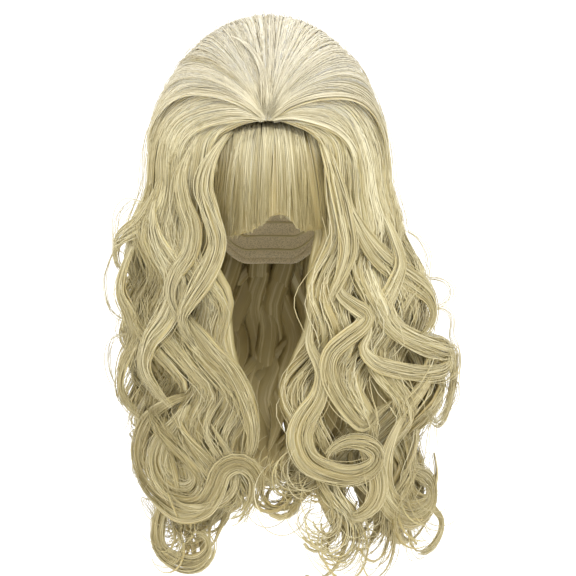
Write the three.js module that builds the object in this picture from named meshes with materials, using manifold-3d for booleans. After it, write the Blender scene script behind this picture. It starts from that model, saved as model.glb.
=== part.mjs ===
// A long, curly, blond wig with a high bouffant crown, a fringe and face-framing curtains.
// Millimetres, +Z up, the face looks along -Y. The origin is the seat: the point inside the cap
// where the top of the wearer's head touches it. Right and left are the wearer's, so the
// right side is at -X.
import * as THREE from "three";
import { mergeVertices } from "three/addons/utils/BufferGeometryUtils.js";
import Module from "manifold-3d";

const wasm = await Module();
wasm.setup();

// The cap, an open shell that follows the head
const headWidth = 150;
const headDepth = 192;
const headRise = 122; // from the head's widest level up to the seat
const capWall = 1.5;
const buttonLap = 3; // how far the patch on top of the cap laps over its rings
const neckPolar = 140; // degrees from straight up, where the head's room ends

// The cap's rim: its depth below the seat at an azimuth from the face, in degrees
const rim = [
  { turn: 0, depth: 42 }, // forehead
  { turn: 50, depth: 86 }, // temple
  { turn: 85, depth: 134 }, // ear tab
  { turn: 110, depth: 126 }, // behind the ear
  { turn: 160, depth: 164 }, // nape
  { turn: 180, depth: 164 },
];

// The bouffant, measured to its outer surface
const bouffantHalfWidth = 137;
const bouffantRise = 126; // above the seat
const waistDrop = 55; // below the seat, where the bouffant is widest
const bouffantFront = 112; // from the middle of the hair forwards
const bouffantBack = 128;
const crestFront = 90; // the same, where the bouffant rises behind the parting
const crestPolar = 55; // degrees from straight up where the crest gives way to the sides
const sideFullness = 0.8; // below 1, the bouffant is rounder than an ellipse from the side
const hairMiddle = 12; // the middle of the hair, behind the seat
const partingRise = 10; // the parting's root above the seat
const partingDent = 0.2; // how far the hair dips in at the root, as a share
const partingReach = 24; // degrees round the root that the dip reaches
const crownRidge = 2.2; // relief of the combed locks
const crownCoreDrop = 88; // below the seat, the point that the bouffant's wall narrows to
const crownCoreShare = 0.25; // where the wall's inner side starts, from that point out

// The falling hair, measured to the middle of its locks
const fallLength = 425; // from the waist down to the lowest tips
const fallWidth = 140;
const fallFront = 108;
const fallBack = 116;
const lockWidth = 50;
const lockThickness = 36;
const curlRadius = 20;
const curlOnset = 200; // the drop below the waist over which the curls open up
const curlPitch = 112;
const curlDepth = 0.6; // a curl's swing in and out, as a share of its swing sideways
const tipShare = 0.46; // a lock's size at its tip, as a share of its size at the waist
const turnedIn = 0.8; // how far down a lock has turned to its tip's azimuth, as a share
const tipTaper = 3; // the higher, the later a lock tapers

// The fringe
const fringeRootWidth = 66;
const fringeWidth = 140;
const fringeDrop = 112; // below the seat
const fringeForward = 107; // in front of the seat
const fringeRootForward = 40;
const fringeRootRise = 8; // above the seat, a little under the parting
const fringeBulgeForward = 94; // where the sheet turns down over the forehead
const fringeBulgeDrop = 10;
const fringeThickness = 7;
const fringeTipThickness = 2.5;
const fringeRootFill = 14; // the hair is this much thicker where it is rooted in the cap
const fringeRidge = 0.7; // relief of its fine locks
const browWrap = 30; // how far its sides curve back round the brow
const rootArch = 5; // how far its root is lower at the sides
const hemArch = 3; // how far its hem is higher at the sides
const notchOffset = 14; // where the fringe parts, towards the wearer's left
const notchRise = 20;
const notchHalfWidth = 17;

const gap = 0.3; // between pieces that touch
const degree = Math.PI / 180;
const curtainAzimuth = 33; // where the hair's front edge crosses the waist, from the face
const liftPolar = 50; // how high the combed hair rises before it falls, from straight up
const curtainLiftPolar = 68; // the same at the hair's front edge, where it rises least
const liftSpread = 45; // degrees from that edge over which the hair's rise grows

// The falling hair's outline from the waist down, as shares of fallLength, fallWidth,
// fallFront and fallBack
const outline = [
  { drop: 0.0, right: 0.88, left: 0.88, front: 0.92, back: 1.0 },
  { drop: 0.15, right: 1.0, left: 1.0, front: 0.96, back: 1.0 },
  { drop: 0.3, right: 1.03, left: 1.12, front: 1.0, back: 0.96 },
  { drop: 0.45, right: 1.05, left: 1.24, front: 1.03, back: 0.94 },
  { drop: 0.6, right: 1.03, left: 1.29, front: 1.06, back: 0.93 },
  { drop: 0.75, right: 0.88, left: 1.13, front: 1.08, back: 0.92 },
  { drop: 1.0, right: 0.79, left: 1.15, front: 1.08, back: 0.9 },
];

// One row for each lock: azimuth in degrees from the face at the waist and at the tip, and
// the tip, width and curl as shares of fallLength, lockWidth and curlRadius. A lock with a
// positive turn winds one way and with a negative turn the other; phase is in turns.
const locks = {
  right_curtain: [
    { waist: -40, end: -17, tip: 0.86, width: 0.9, curl: 0.7, phase: 0.02, turn: -1 },
    { waist: -53, end: -29, tip: 0.96, width: 1.0, curl: 0.9, phase: 0.12, turn: -1 },
    { waist: -67, end: -44, tip: 1.0, width: 1.0, curl: 1.0, phase: 0.26, turn: -1 },
  ],
  right_side_curls: [
    { waist: -82, end: -60, tip: 0.93, width: 1.05, curl: 1.0, phase: 0.6, turn: 1 },
    { waist: -97, end: -77, tip: 0.86, width: 1.05, curl: 1.05, phase: 0.74, turn: 1 },
    { waist: -112, end: -95, tip: 0.8, width: 1.05, curl: 1.0, phase: 0.86, turn: 1 },
  ],
  right_back_curls: [
    { waist: -127, end: -115, tip: 0.86, width: 1.05, curl: 1.0, phase: 0.15, turn: -1 },
    { waist: -142, end: -134, tip: 0.93, width: 1.05, curl: 1.0, phase: 0.28, turn: -1 },
  ],
  nape_curls: [
    { waist: -157, end: -153, tip: 0.9, width: 1.05, curl: 1.0, phase: 0.5, turn: 1 },
    { waist: -172, end: -171, tip: 0.96, width: 1.05, curl: 1.0, phase: 0.62, turn: 1 },
    { waist: 173, end: 171, tip: 0.92, width: 1.05, curl: 1.0, phase: 0.76, turn: 1 },
    { waist: 158, end: 154, tip: 0.97, width: 1.05, curl: 1.0, phase: 0.88, turn: 1 },
  ],
  left_back_curls: [
    { waist: 143, end: 136, tip: 0.9, width: 1.05, curl: 1.0, phase: 0.3, turn: -1 },
    { waist: 128, end: 117, tip: 0.95, width: 1.05, curl: 1.0, phase: 0.42, turn: -1 },
  ],
  left_side_curls: [
    { waist: 113, end: 98, tip: 0.8, width: 1.05, curl: 1.05, phase: 0.05, turn: 1 },
    { waist: 98, end: 80, tip: 0.98, width: 1.05, curl: 1.1, phase: 0.18, turn: 1 },
    { waist: 83, end: 62, tip: 0.9, width: 1.05, curl: 1.05, phase: 0.32, turn: 1 },
  ],
  left_curtain: [
    { waist: 68, end: 46, tip: 0.96, width: 1.0, curl: 1.0, phase: 0.75, turn: -1 },
    { waist: 54, end: 30, tip: 0.94, width: 1.0, curl: 0.9, phase: 0.62, turn: -1 },
    { waist: 40, end: 14, tip: 0.84, width: 0.9, curl: 0.7, phase: 0.5, turn: -1 },
  ],
};

const lockSides = 6;
const lockSteps = 16;
const crownFans = 16;
const crownSteps = 9;
const partingShare = 0.02; // the combed locks start this far from the parting's root
const capRings = 6;
const capColumns = 20;
const buttonSides = 12;
const crownHole = 3; // degrees from the top where the cap's rings start
const neckRings = 3;
const fringeColumns = 12;
const fringeRows = 6;

const blond = { roughness: 0.45, metalness: 0 };
const hairMaterial = new THREE.MeshStandardMaterial({ color: 0xd8cba0, ...blond });
const crownMaterial = new THREE.MeshStandardMaterial({ color: 0xded3b4, ...blond });
const capMaterial = new THREE.MeshStandardMaterial({ color: 0xcbb994, roughness: 0.9, metalness: 0 });

const mix = (from, to, share) => from + (to - from) * share;
const smooth = (share) => {
  const s = Math.min(1, Math.max(0, share));
  return s * s * (3 - 2 * s);
};

// A column of a table at a value of its key column, smoothed between the rows.
function tableAt(rows, key, value, column) {
  const next = Math.max(1, rows.findIndex((row) => row[key] >= value - 1e-9));
  const [before, after] = [rows[next - 1], rows[next]];
  return mix(before[column], after[column], smooth((value - before[key]) / (after[key] - before[key])));
}

// Joins a grid of points into two triangles a cell; flip turns the faces round.
function gridFaces(indexOf, rows, columns, flip, faces) {
  for (let r = 0; r < rows; r++)
    for (let c = 0; c < columns; c++) {
      const [a, b, d, e] = [indexOf(r, c), indexOf(r, c + 1), indexOf(r + 1, c), indexOf(r + 1, c + 1)];
      if (flip) faces.push(a, d, b, b, d, e);
      else faces.push(a, b, d, b, e, d);
    }
}

function geometryOf(points, faces) {
  const geometry = new THREE.BufferGeometry().setFromPoints(points);
  geometry.setIndex(faces);
  return geometry;
}

// A three.js geometry as a closed solid that can be joined and cut.
function solidOf(geometry) {
  const bare = geometry.clone();
  bare.deleteAttribute("normal");
  bare.deleteAttribute("uv");
  const merged = mergeVertices(bare, 1e-3);
  const solid = new wasm.Manifold(
    new wasm.Mesh({
      numProp: 3,
      vertProperties: merged.attributes.position.array,
      triVerts: new Uint32Array(merged.index.array),
    }),
  );
  return solid;
}

// The solid's largest body, without the crumbs that a cut leaves beside it.
function mainBody(solid) {
  const bodies = solid.decompose();
  return bodies.reduce((best, body) => (body.volume() > best.volume() ? body : best));
}

function meshOf(solid, name, material) {
  const { numProp, vertProperties, triVerts, numVert } = solid.getMesh();
  const positions = new Float32Array(numVert * 3);
  for (let i = 0; i < numVert; i++) {
    const start = i * numProp;
    positions.set(vertProperties.subarray(start, start + 3), i * 3);
  }
  const geometry = new THREE.BufferGeometry();
  geometry.setAttribute("position", new THREE.BufferAttribute(positions, 3));
  geometry.setIndex(new THREE.BufferAttribute(triVerts, 1));
  geometry.computeVertexNormals();
  const mesh = new THREE.Mesh(geometry, material);
  mesh.name = name;
  return mesh;
}

// A closed wall between two grids of points, outer and inner, each [row][column]. A grid
// whose columns meet their own start is wrapped.
function wallSolid(outer, inner, wrapped) {
  const rows = outer.length - 1;
  const columns = outer[0].length - (wrapped ? 0 : 1);
  const stride = outer[0].length;
  const points = [...outer.flat(), ...inner.flat()];
  const half = outer.length * stride;
  const at = (offset) => (r, c) => offset + r * stride + (c % stride);
  const [out, into] = [at(0), at(half)];
  const faces = [];
  gridFaces(out, rows, columns, false, faces);
  gridFaces(into, rows, columns, true, faces);
  for (let c = 0; c < columns; c++) {
    faces.push(out(rows, c), out(rows, c + 1), into(rows, c));
    faces.push(out(rows, c + 1), into(rows, c + 1), into(rows, c));
    faces.push(out(0, c), into(0, c), out(0, c + 1));
    faces.push(out(0, c + 1), into(0, c), into(0, c + 1));
  }
  if (!wrapped)
    for (let r = 0; r < rows; r++) {
      faces.push(out(r, 0), out(r + 1, 0), into(r, 0));
      faces.push(out(r + 1, 0), into(r + 1, 0), into(r, 0));
      faces.push(out(r, columns), into(r, columns), out(r + 1, columns));
      faces.push(out(r + 1, columns), into(r, columns), into(r + 1, columns));
    }
  const solid = solidOf(geometryOf(points, faces));
  return solid.volume() < 0 ? solidOf(geometryOf(points, faces.reverse())) : solid;
}

// A point on the head, grown outwards, at an azimuth from the face and a polar angle from
// straight up, both in radians.
function headPoint(azimuth, polar, grow) {
  return new THREE.Vector3(
    (headWidth / 2 + grow) * Math.sin(azimuth) * Math.sin(polar),
    -(headDepth / 2 + grow) * Math.cos(azimuth) * Math.sin(polar),
    -headRise + (headRise + grow) * Math.cos(polar),
  );
}

// The head's surface grown by a distance, as rings of points from the crown down to the
// cap's rim, and on down to the neck if asked.
function headRings(grow, toNeck) {
  const share = (r) => mix(crownHole / 180, 1, r / capRings);
  return Array.from({ length: capRings + 1 + (toNeck ? neckRings : 0) }, (_, r) =>
    Array.from({ length: capColumns }, (_, c) => {
      const azimuth = ((c + 0.5) / capColumns) * 2 * Math.PI - Math.PI;
      const depth = tableAt(rim, "turn", Math.abs(azimuth) / degree, "depth");
      const rimPolar = Math.acos((headRise - depth) / headRise);
      const below = mix(rimPolar, neckPolar * degree, (r - capRings) / neckRings);
      return headPoint(azimuth, r > capRings ? below : rimPolar * share(r), grow);
    }),
  );
}

function capSolid() {
  const shell = wallSolid(headRings(capWall, false), headRings(0, false), true);
  return shell.add(capButton());
}

// The small round patch that closes the top of the cap, where the rings end.
function capButton() {
  const radius = headPoint(Math.PI / 2, crownHole * degree, 0).x + buttonLap;
  const disc = new THREE.CylinderGeometry(radius, radius, capWall, buttonSides);
  disc.rotateX(Math.PI / 2);
  disc.translate(0, 0, capWall / 2);
  return solidOf(disc);
}

// The head and cap with a clearance, as a thick shell: what the hair round them is cut by.
function headRoom(clearance) {
  const thick = headWidth / 4;
  const shell = wallSolid(headRings(capWall + clearance, true), headRings(-thick, true), true);
  const lid = new THREE.CylinderGeometry(thick, thick, thick, buttonSides);
  lid.rotateX(Math.PI / 2);
  lid.translate(0, 0, capWall + clearance - thick / 2);
  return shell.add(solidOf(lid));
}

// A point on the bouffant's outer surface.
function bouffantPoint(direction) {
  const polar = Math.acos(Math.min(1, Math.max(-1, direction.z)));
  const front = mix(crestFront, bouffantFront, smooth((polar / degree - crestPolar) / (90 - crestPolar)));
  const depth = direction.y < 0 ? front : bouffantBack;
  const away = direction.angleTo(partingDirection) / (partingReach * degree);
  const dip = partingDent * Math.exp(-away * away);
  const along = Math.sign(direction.y) * Math.abs(direction.y) ** sideFullness;
  return new THREE.Vector3(
    bouffantHalfWidth * direction.x * (1 - dip),
    hairMiddle + depth * along * (1 - dip),
    -waistDrop + (bouffantRise + waistDrop) * direction.z,
  );
}

function directionAt(azimuth, polar) {
  return new THREE.Vector3(
    Math.sin(azimuth) * Math.sin(polar),
    -Math.cos(azimuth) * Math.sin(polar),
    Math.cos(polar),
  );
}

const partingPolar = Math.acos((partingRise + waistDrop) / (bouffantRise + waistDrop));
const partingDirection = directionAt(0, partingPolar);

// The combed path of the hair that crosses the waist at an azimuth: out of the parting's
// root at share 0, up over the bouffant and down to the waist at share 1.
function combedDirection(waistAzimuth, share) {
  const fromEdge = Math.acos(Math.cos(waistAzimuth)) / degree - curtainAzimuth;
  const polar = mix(curtainLiftPolar, liftPolar, smooth(fromEdge / liftSpread));
  const lifted = directionAt(waistAzimuth, polar * degree);
  const low = directionAt(waistAzimuth, 90 * degree);
  const rest = 1 - share;
  return new THREE.Vector3()
    .addScaledVector(partingDirection, rest * rest)
    .addScaledVector(lifted, 2 * share * rest)
    .addScaledVector(low, share * share)
    .normalize();
}

// A point in the middle of the falling hair, at an azimuth from the face and a drop below
// the waist as a share of the fall.
function fallPoint(azimuth, drop) {
  const shareOf = (column) => tableAt(outline, "drop", Math.min(drop, 1), column);
  const [side, ahead] = [Math.sin(azimuth), Math.cos(azimuth)];
  return new THREE.Vector3(
    side * fallWidth * shareOf(side < 0 ? "right" : "left"),
    hairMiddle - ahead * (ahead > 0 ? fallFront * shareOf("front") : fallBack * shareOf("back")),
    -waistDrop - drop * fallLength,
  );
}

// A lock's centre line from the waist to its tip: points with the sideways and outward
// directions there.
function lockLine(lock) {
  return Array.from({ length: lockSteps + 1 }, (_, i) => {
    const along = i / lockSteps;
    const azimuth = mix(lock.waist, lock.end, smooth(along / turnedIn)) * degree;
    const drop = along * lock.tip;
    const point = fallPoint(azimuth, drop);
    const aside = fallPoint(azimuth + 0.01, drop).sub(point).normalize();
    const outward = new THREE.Vector3(aside.y, -aside.x, 0);
    const swing = curlRadius * lock.curl * smooth((drop * fallLength) / curlOnset);
    const angle = 2 * Math.PI * lock.turn * (lock.phase + (drop * fallLength) / curlPitch);
    point.addScaledVector(aside, swing * Math.cos(angle));
    point.addScaledVector(outward, swing * curlDepth * Math.sin(angle));
    return { point, outward, along };
  });
}

// A lock as a closed tapering band with an oval section, grown by a clearance. Its top is
// flat, where it hangs from the bouffant.
function lockSolid(lock, grow) {
  const line = lockLine(lock);
  const top = -waistDrop - gap + grow;
  const rings = line.map(({ point, outward, along }, i) => {
    const before = line[Math.max(0, i - 1)].point;
    const after = line[Math.min(lockSteps, i + 1)].point;
    const tangent = i ? after.clone().sub(before).normalize() : new THREE.Vector3(0, 0, -1);
    const away = outward.clone().addScaledVector(tangent, -outward.dot(tangent)).normalize();
    const aside = new THREE.Vector3().crossVectors(tangent, away);
    const full = mix(1, tipShare, along ** tipTaper);
    const halfWidth = (lockWidth / 2) * lock.width * full + grow;
    const halfThickness = (lockThickness / 2) * full + grow;
    return Array.from({ length: lockSides }, (_, k) => {
      const turn = (2 * Math.PI * k) / lockSides;
      const corner = point.clone().addScaledVector(aside, halfWidth * Math.cos(turn));
      corner.addScaledVector(away, halfThickness * Math.sin(turn));
      if (i === lockSteps) corner.addScaledVector(tangent, grow);
      return i ? corner : corner.setZ(top);
    });
  });
  const points = rings.flat();
  const [first, last] = [points.length, points.length + 1];
  for (const ring of [rings[0], rings[lockSteps]]) {
    const middle = new THREE.Vector3();
    for (const corner of ring) middle.addScaledVector(corner, 1 / lockSides);
    points.push(middle);
  }
  const faces = [];
  const at = (r, c) => r * lockSides + (c % lockSides);
  gridFaces(at, lockSteps, lockSides, false, faces);
  for (let k = 0; k < lockSides; k++) {
    faces.push(first, at(0, k + 1), at(0, k));
    faces.push(last, at(lockSteps, k), at(lockSteps, k + 1));
  }
  const solid = solidOf(geometryOf(points, faces));
  return solid.volume() < 0 ? solidOf(geometryOf(points, faces.reverse())) : solid;
}

function sectionSolid(rows, grow) {
  return rows.map((row) => lockSolid(row, grow)).reduce((whole, lock) => whole.add(lock));
}

// The bouffant's hair between the cap and its outer surface, with the combed locks in low
// relief, before it is cut by what it holds.
function crownSolid() {
  const open = curtainAzimuth * degree;
  const middle = new THREE.Vector3(0, 0, -crownCoreDrop);
  const outer = [];
  const inner = [];
  for (let f = 0; f <= crownFans; f++) {
    const azimuth = mix(open, 2 * Math.PI - open, f / crownFans);
    const relief = f % 2 ? crownRidge : -crownRidge;
    const path = Array.from({ length: crownSteps + 1 }, (_, s) => {
      const share = mix(partingShare, 1, s / crownSteps);
      const point = bouffantPoint(combedDirection(azimuth, share));
      const away = point.clone().sub(middle).normalize();
      return point.addScaledVector(away, relief * smooth(share * 2));
    });
    outer.push(path);
    inner.push(path.map((point) => point.clone().sub(middle).multiplyScalar(crownCoreShare).add(middle)));
  }
  return wallSolid(outer, inner, false);
}

// The fringe: a curved sheet of fine locks from its root behind the parting, forwards over
// the forehead and down, with a notch where it parts.
function fringeSolid(grow) {
  const outer = [];
  const inner = [];
  for (let r = 0; r <= fringeRows; r++) {
    const share = r / fringeRows;
    const bend = smooth(share * 1.4); // 0 where the sheet lies flat, 1 where it hangs
    const facing = new THREE.Vector3(0, -mix(0.2, 1, bend), 1 - bend).normalize();
    const halfWidth = mix(fringeRootWidth, fringeWidth, smooth(share ** 0.7)) / 2 + grow;
    const thick = mix(fringeThickness, fringeTipThickness, share) + fringeRootFill * (1 - share) ** 4;
    const [outerRow, innerRow] = [[], []];
    for (let c = 0; c <= fringeColumns; c++) {
      const across = (2 * c) / fringeColumns - 1;
      const point = fringePoint(across, share, halfWidth, grow);
      const ridge = c % 2 ? fringeRidge : -fringeRidge;
      outerRow.push(point.clone().addScaledVector(facing, ridge + grow));
      innerRow.push(point.clone().addScaledVector(facing, -thick - grow));
    }
    outer.push(outerRow);
    inner.push(innerRow);
  }
  return wallSolid(outer, inner, false);
}

// A point on the fringe, across from -1 to 1 and down its length by a share. The length is a
// curve from the root, over the bulge, to the hem.
function fringePoint(across, share, halfWidth, grow) {
  const x = across * halfWidth;
  const sides = across * across;
  const notch = notchRise * Math.exp(-(((x - notchOffset) / notchHalfWidth) ** 2));
  const hem = -fringeDrop + notch + hemArch * sides - grow;
  const curve = (root, bulge, end) => {
    const rest = 1 - share;
    return rest * rest * root + 2 * share * rest * bulge + share * share * end;
  };
  return new THREE.Vector3(
    x,
    browWrap * sides * share - curve(fringeRootForward, fringeBulgeForward, fringeForward),
    curve(fringeRootRise - rootArch * sides, -fringeBulgeDrop, hem),
  );
}

const wig = new THREE.Group();

const cap = mainBody(capSolid());
wig.add(meshOf(cap, "cap", capMaterial));

const head = headRoom(gap);
const fringe = mainBody(fringeSolid(0).subtract(head));
wig.add(meshOf(fringe, "fringe", hairMaterial));

let taken = head.add(fringeSolid(gap));
for (const [name, rows] of Object.entries(locks)) {
  const section = mainBody(sectionSolid(rows, 0).subtract(taken));
  wig.add(meshOf(section, name, hairMaterial));
  taken = taken.add(sectionSolid(rows, gap)).add(section);
}

wig.add(meshOf(mainBody(crownSolid().subtract(taken)), "crown_hair", crownMaterial));

export default wig;
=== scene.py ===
"""A long curly blond wig with a bouffant crown, dressed with swept locks and fine strands.

Metres, +Z up, the face looks along -Y. Right and left are the wearer's, so right is at -X.
"""
import math

import bmesh
import bpy
import numpy as np
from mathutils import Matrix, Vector


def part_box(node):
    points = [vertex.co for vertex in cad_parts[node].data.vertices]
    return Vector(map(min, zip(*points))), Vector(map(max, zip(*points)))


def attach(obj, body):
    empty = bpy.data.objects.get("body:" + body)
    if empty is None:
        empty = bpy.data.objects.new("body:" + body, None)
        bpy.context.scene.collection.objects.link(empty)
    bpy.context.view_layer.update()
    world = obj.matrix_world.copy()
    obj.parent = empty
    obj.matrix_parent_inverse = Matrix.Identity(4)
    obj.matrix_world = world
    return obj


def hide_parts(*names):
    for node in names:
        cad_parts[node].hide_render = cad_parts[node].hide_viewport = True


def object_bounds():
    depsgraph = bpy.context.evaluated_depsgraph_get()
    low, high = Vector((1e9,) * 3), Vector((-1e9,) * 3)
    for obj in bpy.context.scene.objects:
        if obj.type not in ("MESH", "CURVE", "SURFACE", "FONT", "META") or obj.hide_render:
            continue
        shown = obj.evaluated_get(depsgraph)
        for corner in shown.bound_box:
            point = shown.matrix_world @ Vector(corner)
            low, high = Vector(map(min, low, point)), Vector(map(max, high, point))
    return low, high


bl_info = {
    "name": "Curly wig",
    "version": (1, 0, 0),
    "blender": (4, 5, 0),
    "location": "View3D > Sidebar > Wig",
    "description": "Builds a long curly wig from combed locks, fine strands and a sewn cap",
    "category": "Add Mesh",
}

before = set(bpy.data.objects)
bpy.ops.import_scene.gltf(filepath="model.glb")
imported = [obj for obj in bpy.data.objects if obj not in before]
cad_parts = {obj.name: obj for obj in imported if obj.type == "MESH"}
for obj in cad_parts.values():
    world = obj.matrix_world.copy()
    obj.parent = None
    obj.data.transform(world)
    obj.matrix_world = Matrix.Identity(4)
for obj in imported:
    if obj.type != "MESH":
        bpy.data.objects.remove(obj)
CAD_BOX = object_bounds()
CROWN_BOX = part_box("crown_hair")
CAP_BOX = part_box("cap")
FRINGE_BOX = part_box("fringe")

MM = 0.001
DEGREE = math.pi / 180

# The head, from the cap that was made for it
CAP_WALL = 1.5 * MM
HEAD_HALF_WIDTH = 75 * MM
HEAD_HALF_DEPTH = 96 * MM
HEAD_RISE = 122 * MM
RIM_TURNS = (0, 50, 85, 110, 160, 180)
RIM_DEPTHS = (42, 86, 134, 126, 164, 164)

# The bouffant's outer surface, as in the part
BOUFFANT_HALF_WIDTH = 137 * MM
BOUFFANT_RISE = 126 * MM
WAIST_DROP = 55 * MM
BOUFFANT_FRONT = 112 * MM
BOUFFANT_BACK = 128 * MM
CREST_FRONT = 90 * MM
CREST_POLAR = 55
SIDE_FULLNESS = 0.8
HAIR_MIDDLE = 12 * MM
PARTING_RISE = 10 * MM
PARTING_DENT = 0.2
PARTING_REACH = 24
CURTAIN_AZIMUTH = 33
LIFT_POLAR = 50
CURTAIN_LIFT_POLAR = 68
LIFT_SPREAD = 45

# The falling hair, to the middle of its locks, as in the part
FALL_LENGTH = 425 * MM
FALL_WIDTH = 140 * MM
FALL_FRONT = 108 * MM
FALL_BACK = 116 * MM
LOCK_THICKNESS = 36 * MM
LOCK_HALF_ANGLE = 8.5
TURNED_IN = 0.8
OUTLINE_DROPS = (0, 0.15, 0.3, 0.45, 0.6, 0.75, 1)
OUTLINE = {
    "right": (0.88, 1.0, 1.03, 1.05, 1.03, 0.88, 0.79),
    "left": (0.88, 1.0, 1.12, 1.24, 1.29, 1.13, 1.15),
    "front": (0.92, 0.96, 1.0, 1.03, 1.06, 1.08, 1.08),
    "back": (1.0, 1.0, 0.96, 0.94, 0.93, 0.92, 0.9),
}

# The fringe, as in the part
FRINGE_ROOT_WIDTH = 104 * MM
FRINGE_WIDTH = 140 * MM
FRINGE_DROP = 112 * MM
FRINGE_FORWARD = 107 * MM
FRINGE_ROOT_FORWARD = 40 * MM
FRINGE_ROOT_RISE = 8 * MM
FRINGE_BULGE_FORWARD = 94 * MM
FRINGE_BULGE_DROP = 10 * MM
BROW_WRAP = 30 * MM
HEM_ARCH = 3 * MM
ROOT_ARCH = 5 * MM
HEM_TUCK = 5 * MM
NOTCH_OFFSET = 14 * MM
NOTCH_RISE = 20 * MM
NOTCH_RIGHT_WIDTH = 20 * MM
NOTCH_LEFT_WIDTH = 14 * MM
NOTCH_PUSH = 6 * MM
LOBE_DROP = 6 * MM
BUNCHES = 26

# One row for each lock: azimuth in degrees from the face at the waist and at the tip, its
# length and curl as shares, its phase in turns, the way it winds, and the curl at its tip:
# its radius in millimetres and how far round it goes, in degrees
LOCK_COLUMNS = ("waist", "end", "tip", "curl", "phase", "turn", "hook", "hook_turn")
LOCKS = {
    "right_curtain": (
        (-40, -17, 0.86, 0.7, 0.02, -1, 18, 150),
        (-53, -29, 0.96, 0.9, 0.12, -1, 22, 220),
        (-67, -44, 1.0, 1.0, 0.26, -1, 20, 260),
    ),
    "right_side_curls": (
        (-82, -60, 0.93, 1.0, 0.6, 1, 20, 240),
        (-97, -77, 0.86, 1.05, 0.74, 1, 18, 260),
        (-112, -95, 0.8, 1.0, 0.86, 1, 22, 200),
    ),
    "right_back_curls": (
        (-127, -115, 0.86, 1.0, 0.15, -1, 22, 240),
        (-142, -134, 0.93, 1.0, 0.28, -1, 20, 280),
    ),
    "nape_curls": (
        (-157, -153, 0.9, 1.0, 0.5, 1, 22, 250),
        (-172, -171, 0.96, 1.0, 0.62, 1, 20, 280),
        (173, 171, 0.92, 1.0, 0.76, 1, 24, 220),
        (158, 154, 0.97, 1.0, 0.88, 1, 20, 270),
    ),
    "left_back_curls": (
        (143, 136, 0.9, 1.0, 0.3, -1, 24, 240),
        (128, 117, 0.95, 1.0, 0.42, -1, 20, 280),
    ),
    "left_side_curls": (
        (113, 98, 0.8, 1.05, 0.05, 1, 24, 230),
        (98, 80, 0.98, 1.1, 0.18, 1, 22, 200),
        (83, 62, 0.9, 1.05, 0.32, 1, 24, 260),
    ),
    "left_curtain": (
        (68, 46, 0.96, 1.0, 0.75, -1, 25, 300),
        (54, 30, 0.94, 0.9, 0.62, -1, 26, 330),
        (40, 14, 0.84, 0.7, 0.5, -1, 22, 300),
    ),
}

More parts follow.
